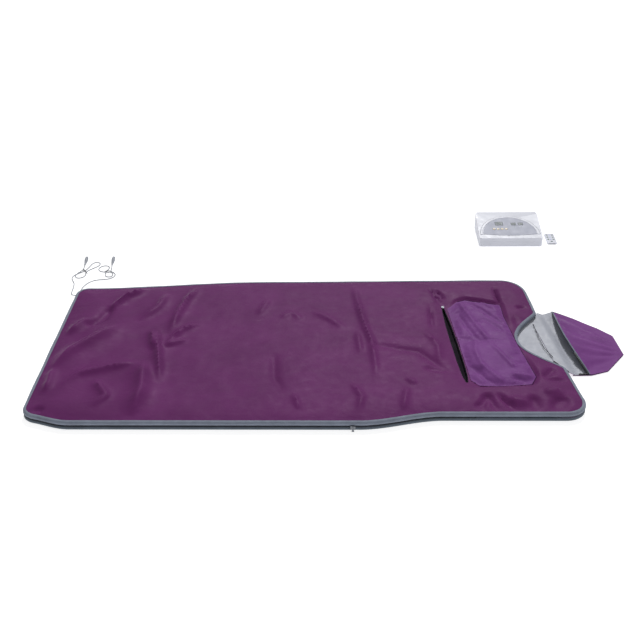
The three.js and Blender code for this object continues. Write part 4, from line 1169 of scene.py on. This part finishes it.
def make_hood_top():
    """The violet top: lifted along its mouth, flat at its outer seam, with folds that run to the tip."""
    outer = HOOD_EDGE[1:-1]
    mouth = mouth_line(60)
    loop = np.vstack([mouth, resample([MOUTH[2], *outer, MOUTH[0]], 0.006, closed=False)[1:-1]])
    plan = Plan([resample(loop, 0.005)], 0.0065, insets=(0.003, 0.007))
    xy = plan.xy
    from_mouth = distance(xy, [mouth], closed=False)
    from_edge = distance(xy, [[MOUTH[2], *outer, MOUTH[0]]], closed=False)
    along = np.array([np.argmin(((mouth - p) ** 2).sum(1)) for p in xy]) / 60
    low = HOOD_REST + far_lift(xy[:, 0], xy[:, 1])
    arch = MOUTH_RISE * np.sin(np.pi * np.clip(along, 0, 1)) ** 0.8
    t = from_mouth / np.maximum(from_mouth + from_edge, 1e-6)
    body = (1 - t) ** 1.15 * smooth(from_edge / 0.06)
    lift = arch * body * (0.72 + 0.28 * np.exp(-from_mouth / 0.05))
    tip = np.array((1.16, -0.03))
    turn = np.arctan2(xy[:, 1] - tip[1], tip[0] - xy[:, 0])
    folds = 2.6 * np.sin(turn * 21 + 1.2 * field(xy, 9, 61.0)) + 1.4 * field(xy, 14, 62.0, (0.5, 1.8))
    lift += folds * MM * smooth(from_edge / 0.05) * smooth(from_mouth / 0.04) * 0.8
    top = low + np.maximum(lift, 0) + 1.1 * MM
    piece = slab("hood_top_cloth", plan, top, top - 1.2 * MM, [LOOKS["hood_nylon"], LOOKS["lining"]])
    finish_piece(piece, "hood_nylon", "hood_top_panel", body="hood")
    base_z = HOOD_REST + far_lift(mouth[:, 0], mouth[:, 1])
    z_at = base_z + MOUTH_RISE * np.sin(np.pi * np.linspace(0, 1, 61)) ** 0.8 + 1.0 * MM
    rim = [Vector((x, y, z)) for (x, y), z in zip(mouth, z_at)]
    strand("hood_mouth_binding", rim, 2.6 * MM, "binding", "hood")
    under = [p + Vector((-0.0035, 0, -0.0016)) for p in rim[3:-2]]
    strand("hood_mouth_seam", under, 1.1 * MM, "zip_tape", "hood")
    elastic_line = [rim[0] + Vector((-0.030, -0.002, -0.0005)), *rim[0:16:3]]
    elastic = [p + Vector((-0.006, 0, 0.0012)) for p in elastic_line]
    strand("hood_elastic", elastic, 3.2 * MM, "black_plastic", "hood")
    seam_points = resample([HOOD_EDGE[0], *outer, HOOD_EDGE[-1]], 0.005, closed=False)
    seam_line = [Vector((x, y, 3.4 * MM + float(far_lift(x, y)))) for x, y in seam_points]
    strand("hood_outer_seam", seam_line, 1.5 * MM, "hood_nylon", "hood", DARK_VIOLET)


make_hood_lining()
make_hood_top()

# ---------------------------------------------------------------- controller

face = Matrix.Rotation(math.atan(30 / 190), 4, "X")
face.translation = (0.705, 0.790, 0.042)


def on_face(x, y, z=0.0):
    return face @ Vector((x * MM, y * MM, z * MM))


def soften(name, width):
    """Rounds the hard edges of a case that is kept as it is."""
    piece = nodes[name]
    weld = piece.modifiers.new("Weld", "WELD")
    weld.merge_threshold = 1e-5
    flat = piece.modifiers.new("Flat", "DECIMATE")
    flat.decimate_type = "DISSOLVE"
    flat.angle_limit = math.radians(1)
    bevel = piece.modifiers.new("Bevel", "BEVEL")
    bevel.width = width
    bevel.segments = 3
    bevel.limit_method = "ANGLE"
    bevel.angle_limit = math.radians(40)
    bevel.harden_normals = False


def raised_path(name, points, width, height, slot, body="base", look=None, closed=False):
    """A low rounded moulding along points of the controller's face, given in millimetres."""
    line = np.array(points, float)
    out = normals(line, closed)
    rings = []
    for p, n in zip(line, out):
        ring = []
        for k in range(9):
            a = math.pi * k / 8
            o = math.cos(a) * width / 2
            ring.append(on_face(p[0] + n[0] * o, p[1] + n[1] * o, 0.05 + height * math.sin(a) ** 0.6))
        rings.append(ring)
    if closed:
        rings.append(rings[0])
    piece = ring_tube(name, rings, look or LOOKS[slot])
    return finish_piece(piece, slot, body=body, look=look)


def digits(name, x, y, height, count, body="base"):
    """Seven-segment figures, all segments lit."""
    width, gap, thick = height * 0.5, height * 0.2, height * 0.11
    places = []
    first = x - (count * width + (count - 1) * gap) / 2
    for k in range(count):
        left = first + k * (width + gap)
        for sx, sy, across in (
            (0.5, 0, True), (0.5, 0.5, True), (0.5, 1, True), (0, 0.25, False), (1, 0.25, False),
            (0, 0.75, False), (1, 0.75, False),
        ):
            cx, cy = left + sx * width, y - height / 2 + sy * height
            w, h = (width * 0.78, thick) if across else (thick, height * 0.36)
            places.append((cx, cy, w, h))
    return marks(name, places, 1.5, 1.62, body)


def marks(name, places, z0, z1, body="base", look=None):
    """Thin raised bars on the controller's face: each is (x, y, width, height) in millimetres."""
    verts, faces = [], []
    for cx, cy, w, h in places:
        first = len(verts)
        slant = min(w, h) * 0.35
        plan = [(-w / 2 + slant, -h / 2), (w / 2 - slant, -h / 2), (w / 2, 0), (w / 2 - slant, h / 2),
                (-w / 2 + slant, h / 2), (-w / 2, 0)]
        if h > w:
            plan = [(-w / 2, -h / 2 + slant), (0, -h / 2), (w / 2, -h / 2 + slant), (w / 2, h / 2 - slant),
                    (0, h / 2), (-w / 2, h / 2 - slant)]
        for z in (z0, z1):
            verts += [on_face(cx + px, cy + py, z) for px, py in plan]
        faces.append(tuple(first + i for i in reversed(range(6))))
        faces.append(tuple(first + 6 + i for i in range(6)))
        faces += [(first + i, first + (i + 1) % 6, first + 6 + (i + 1) % 6, first + 6 + i) for i in range(6)]
    piece = mesh_object(name, verts, faces, look or DARK_PRINT, smooth=False)
    return finish_piece(piece, "display_window", body=body, look=look or DARK_PRINT)


def make_controller():
    for name, width in (("controller_bottom_case", 1.2), ("controller_top_case", 1.4), ("control_panel", 0.25)):
        soften(name, width * MM)
    middle, half = (19.4 + 243.8) / 2, (243.8 - 19.4) / 2

    def arch(beyond, foot, rise):
        turns = [math.pi * (1 - i / 60) for i in range(61)]
        return [(middle + (half + beyond) * math.cos(a), foot + rise * math.sin(a)) for a in turns]

    raised_path("panel_arch", arch(7.5, 27, 127.5), 12, 1.5, "controller_white")
    raised_path("panel_arch_edge", arch(14.5, 26, 135), 0.9, 0.5, "controller_white", look=GREY_PRINT)
    for name, (x, y, w, h) in {
        "time": (91.4, 104, 31, 22),
        "zone_one": (153, 101, 18.4, 15.6),
        "zone_two": (182.7, 101, 18.4, 15.6),
    }.items():
        r = 0.9
        loop = [(x - w / 2 - r, y - h / 2 - r), (x + w / 2 + r, y - h / 2 - r), (x + w / 2 + r, y + h / 2 + r),
                (x - w / 2 - r, y + h / 2 + r)]
        for k in range(4):
            a, b = loop[k], loop[(k + 1) % 4]
            raised_path(f"{name}_frame_{k + 1}", resample([a, b], 1.5, closed=False), 1.3, 1.9, "panel_overlay",
                        look=GREY_PRINT)
        digits(f"{name}_digits", x, y, h * 0.62, 2)
    for i, name in enumerate(("key_power", "key_timer", "key_zone_one", "key_zone_two")):
        x, y = 66.7 + i * 17.2, 64.5
        soften(name, 0.5 * MM)
        if i == 0:
            icon = [
                (x, y + 1.8, 0.7, 3.0), (x - 2.2, y - 0.2, 0.7, 2.4), (x + 2.2, y - 0.2, 0.7, 2.4),
                (x, y - 2.3, 3.2, 0.7),
            ]
        elif i == 1:
            icon = [
                (x, y + 1.2, 0.7, 2.4), (x + 1.0, y - 0.2, 2.2, 0.7), (x, y - 2.6, 3.6, 0.6),
                (x, y + 2.9, 3.6, 0.6),
            ]
        else:
            icon = [(x, y + 1.9 - 1.7 * k, 4.4 - 1.2 * k, 0.8) for k in range(i - 1, 3)] or [(x, y, 3, 0.8)]
        marks(f"{name}_icon", icon, 2.25, 2.42, body=name)
    marks("panel_rule", [(middle, 34, 118, 0.7)], 1.08, 1.16, look=GREY_PRINT)
    rules = [(168, 88.6, 46, 0.5), (91.4, 88.6, 31, 0.5), (91.4, 120.5, 12, 0.7), (168, 114.5, 12, 0.7)]
    marks("zone_rules", rules, 1.08, 1.16, look=GREY_PRINT)
    for name in ("time_display", "zone_one_display", "zone_two_display"):
        soften(name, 0.3 * MM)
    for name in ("power_switch_frame", "mains_inlet", "lead_socket_1", "lead_socket_2", "power_rocker"):
        soften(name, 0.5 * MM)


def make_inlet_pins():
    low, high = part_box("mains_inlet")
    middle = (low + high) / 2
    pins = [
        bevelled(f"pin_{k}", (x - 0.001, low.y + 0.002, middle.z - h), (x + 0.001, high.y - 0.004, middle.z + h),
                 0.0004, LOOKS["zip_metal"])
        for k, (x, h) in enumerate(((middle.x - 0.005, 0.0022), (middle.x + 0.005, 0.0022)))
    ]
    finish_piece(joined("mains_inlet_pins", pins), "zip_metal", body="base")


make_controller()
make_inlet_pins()

# ---------------------------------------------------------------- remote

REMOTE = Vector((1.016, 0.812, 0))


def make_remote():
    for name, width in (("remote_back_case", 0.7), ("remote_front_case", 0.7), ("battery_tray", 0.3)):
        soften(name, width * MM)
    keys = {
        "time_down": (-11.2, 74.4), "time_up": (11.2, 74.4), "one_down": (-11.2, 55.1), "one_up": (11.2, 55.1),
        "two_down": (-11.2, 35.2), "two_up": (11.2, 35.2), "power": (0, 15.5),
    }
    for name, (x, y) in keys.items():
        node = f"remote_key_{name}"
        low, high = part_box(node)
        red = name == "power"
        centre = Vector(((low.x + high.x) / 2, (low.y + high.y) / 2, low.z))
        r, h = (high.x - low.x) / 2, high.z - low.z
        profile = [
            (r * 0.98, 0), (r * 0.98, h * 0.72), (r * 0.93, h * 0.86), (r * 0.8, h * 0.95), (r * 0.4, h),
            (r * 0.02, h),
        ]
        slot = "red_key" if red else "blue_key"
        dome = turned(f"remote_dome_{name}", profile, centre, Vector((0, 0, 1)), LOOKS[slot])
        finish_piece(dome, slot, node, body=node)
        bars = [(0, 0, 4.6, 0.9)] if not red else [(0, 0.9, 0.9, 3.0), (0, -2.1, 3.4, 0.8)]
        if name.endswith("up"):
            bars.append((0, 0, 0.9, 4.6))
        parts = [
            bevelled(f"bar_{k}", (centre.x + (bx - w / 2) * MM, centre.y + (by - d / 2) * MM, high.z - 0.2 * MM),
                     (centre.x + (bx + w / 2) * MM, centre.y + (by + d / 2) * MM, high.z + 0.12 * MM), 0.00005,
                     LOOKS["remote_white"])
            for k, (bx, by, w, d) in enumerate(bars)
        ]
        finish_piece(joined(f"remote_mark_{name}", parts), "remote_white", body=node)
    front_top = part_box("remote_front_case")[1].z
    for k, y in enumerate((74.4, 55.1, 35.2)):
        label = bevelled(
            f"remote_label_{k + 1}", REMOTE + Vector((-0.0038, (y - 1.7) * MM, front_top - 0.0001)),
            REMOTE + Vector((0.0038, (y + 1.7) * MM, front_top + 0.00025)), 0.0012, LOOKS["blue_key"],
        )
        finish_piece(label, "blue_key", body="base")


make_remote()

# ---------------------------------------------------------------- finishes of the kept nodes

NODE_SLOTS = {
    "insulation": ["base_insulation", "cover_insulation"],
    "heater_web": ["base_heating_layer", "cover_heating_layer"],
    "zip_tape": ["base_zip_tape", "cover_zip_tape", "arm_zip_tape"],
    "zip_metal": ["arm_zip_slider"],
    "controller_white": ["controller_bottom_case", "controller_top_case"],
    "panel_overlay": ["control_panel"],
    "display_window": ["time_display", "zone_one_display", "zone_two_display"],
    "gold_key": ["key_power", "key_timer", "key_zone_one", "key_zone_two"],
    "circuit_board": ["display_board", "main_board", "remote_board"],
    "black_plastic": [
        "base_thermostat", "cover_thermostat", "mains_inlet", "lead_socket_1", "lead_socket_2",
        "power_switch_frame", "power_rocker",
    ],
    "lead_grey": ["fuse_cap"],
    "transformer_copper": ["transformer"],
    "remote_white": ["remote_front_case", "remote_back_case", "battery_tray"],
    "cell_steel": ["coin_cell"],
}
for slot_name, names in NODE_SLOTS.items():
    for node_name in names:
        materials = nodes[node_name].data.materials
        materials.clear()
        materials.append(LOOKS[slot_name])

# ---------------------------------------------------------------- studio


FLOOR_Z = -0.0006  # just below the pieces, so that their lower faces don't flicker against it


def make_studio():
    mesh = bpy.data.meshes.new("floor")
    corners = [(-14, -10), (14, -10), (14, 18), (-14, 18)]
    mesh.from_pydata([(x, y, FLOOR_Z) for x, y in corners], [], [(0, 1, 2, 3)])
    floor = placed("floor", mesh)
    look = Nodes("floor", 0.9, specular=0.1)
    look.set("Base Color", (0.62, 0.62, 0.63, 1))
    look.set("Emission Color", (1, 1, 1, 1))
    look.set("Emission Strength", 0.72)
    mesh.materials.append(look.material)
    world = bpy.data.worlds.new("studio")
    world.use_nodes = True
    world.node_tree.nodes["Background"].inputs["Color"].default_value = (1, 1, 1, 1)
    world.node_tree.nodes["Background"].inputs["Strength"].default_value = 0.30
    bpy.context.scene.world = world
    for name, toward, strength, spread in (
        ("key", (0.12, 1.0, 1.08), 2.05, 9),
        ("fill", (0.9, -0.9, 1.6), 0.5, 60),
    ):
        data = bpy.data.lights.new(name, "SUN")
        data.energy = strength
        data.angle = math.radians(spread)
        light = placed(name, data)
        light.location = Vector(toward) * 3
        light.rotation_euler = Vector(toward).to_track_quat("Z", "Y").to_euler()
    bpy.context.scene.view_settings.view_transform = "Standard"


make_studio()
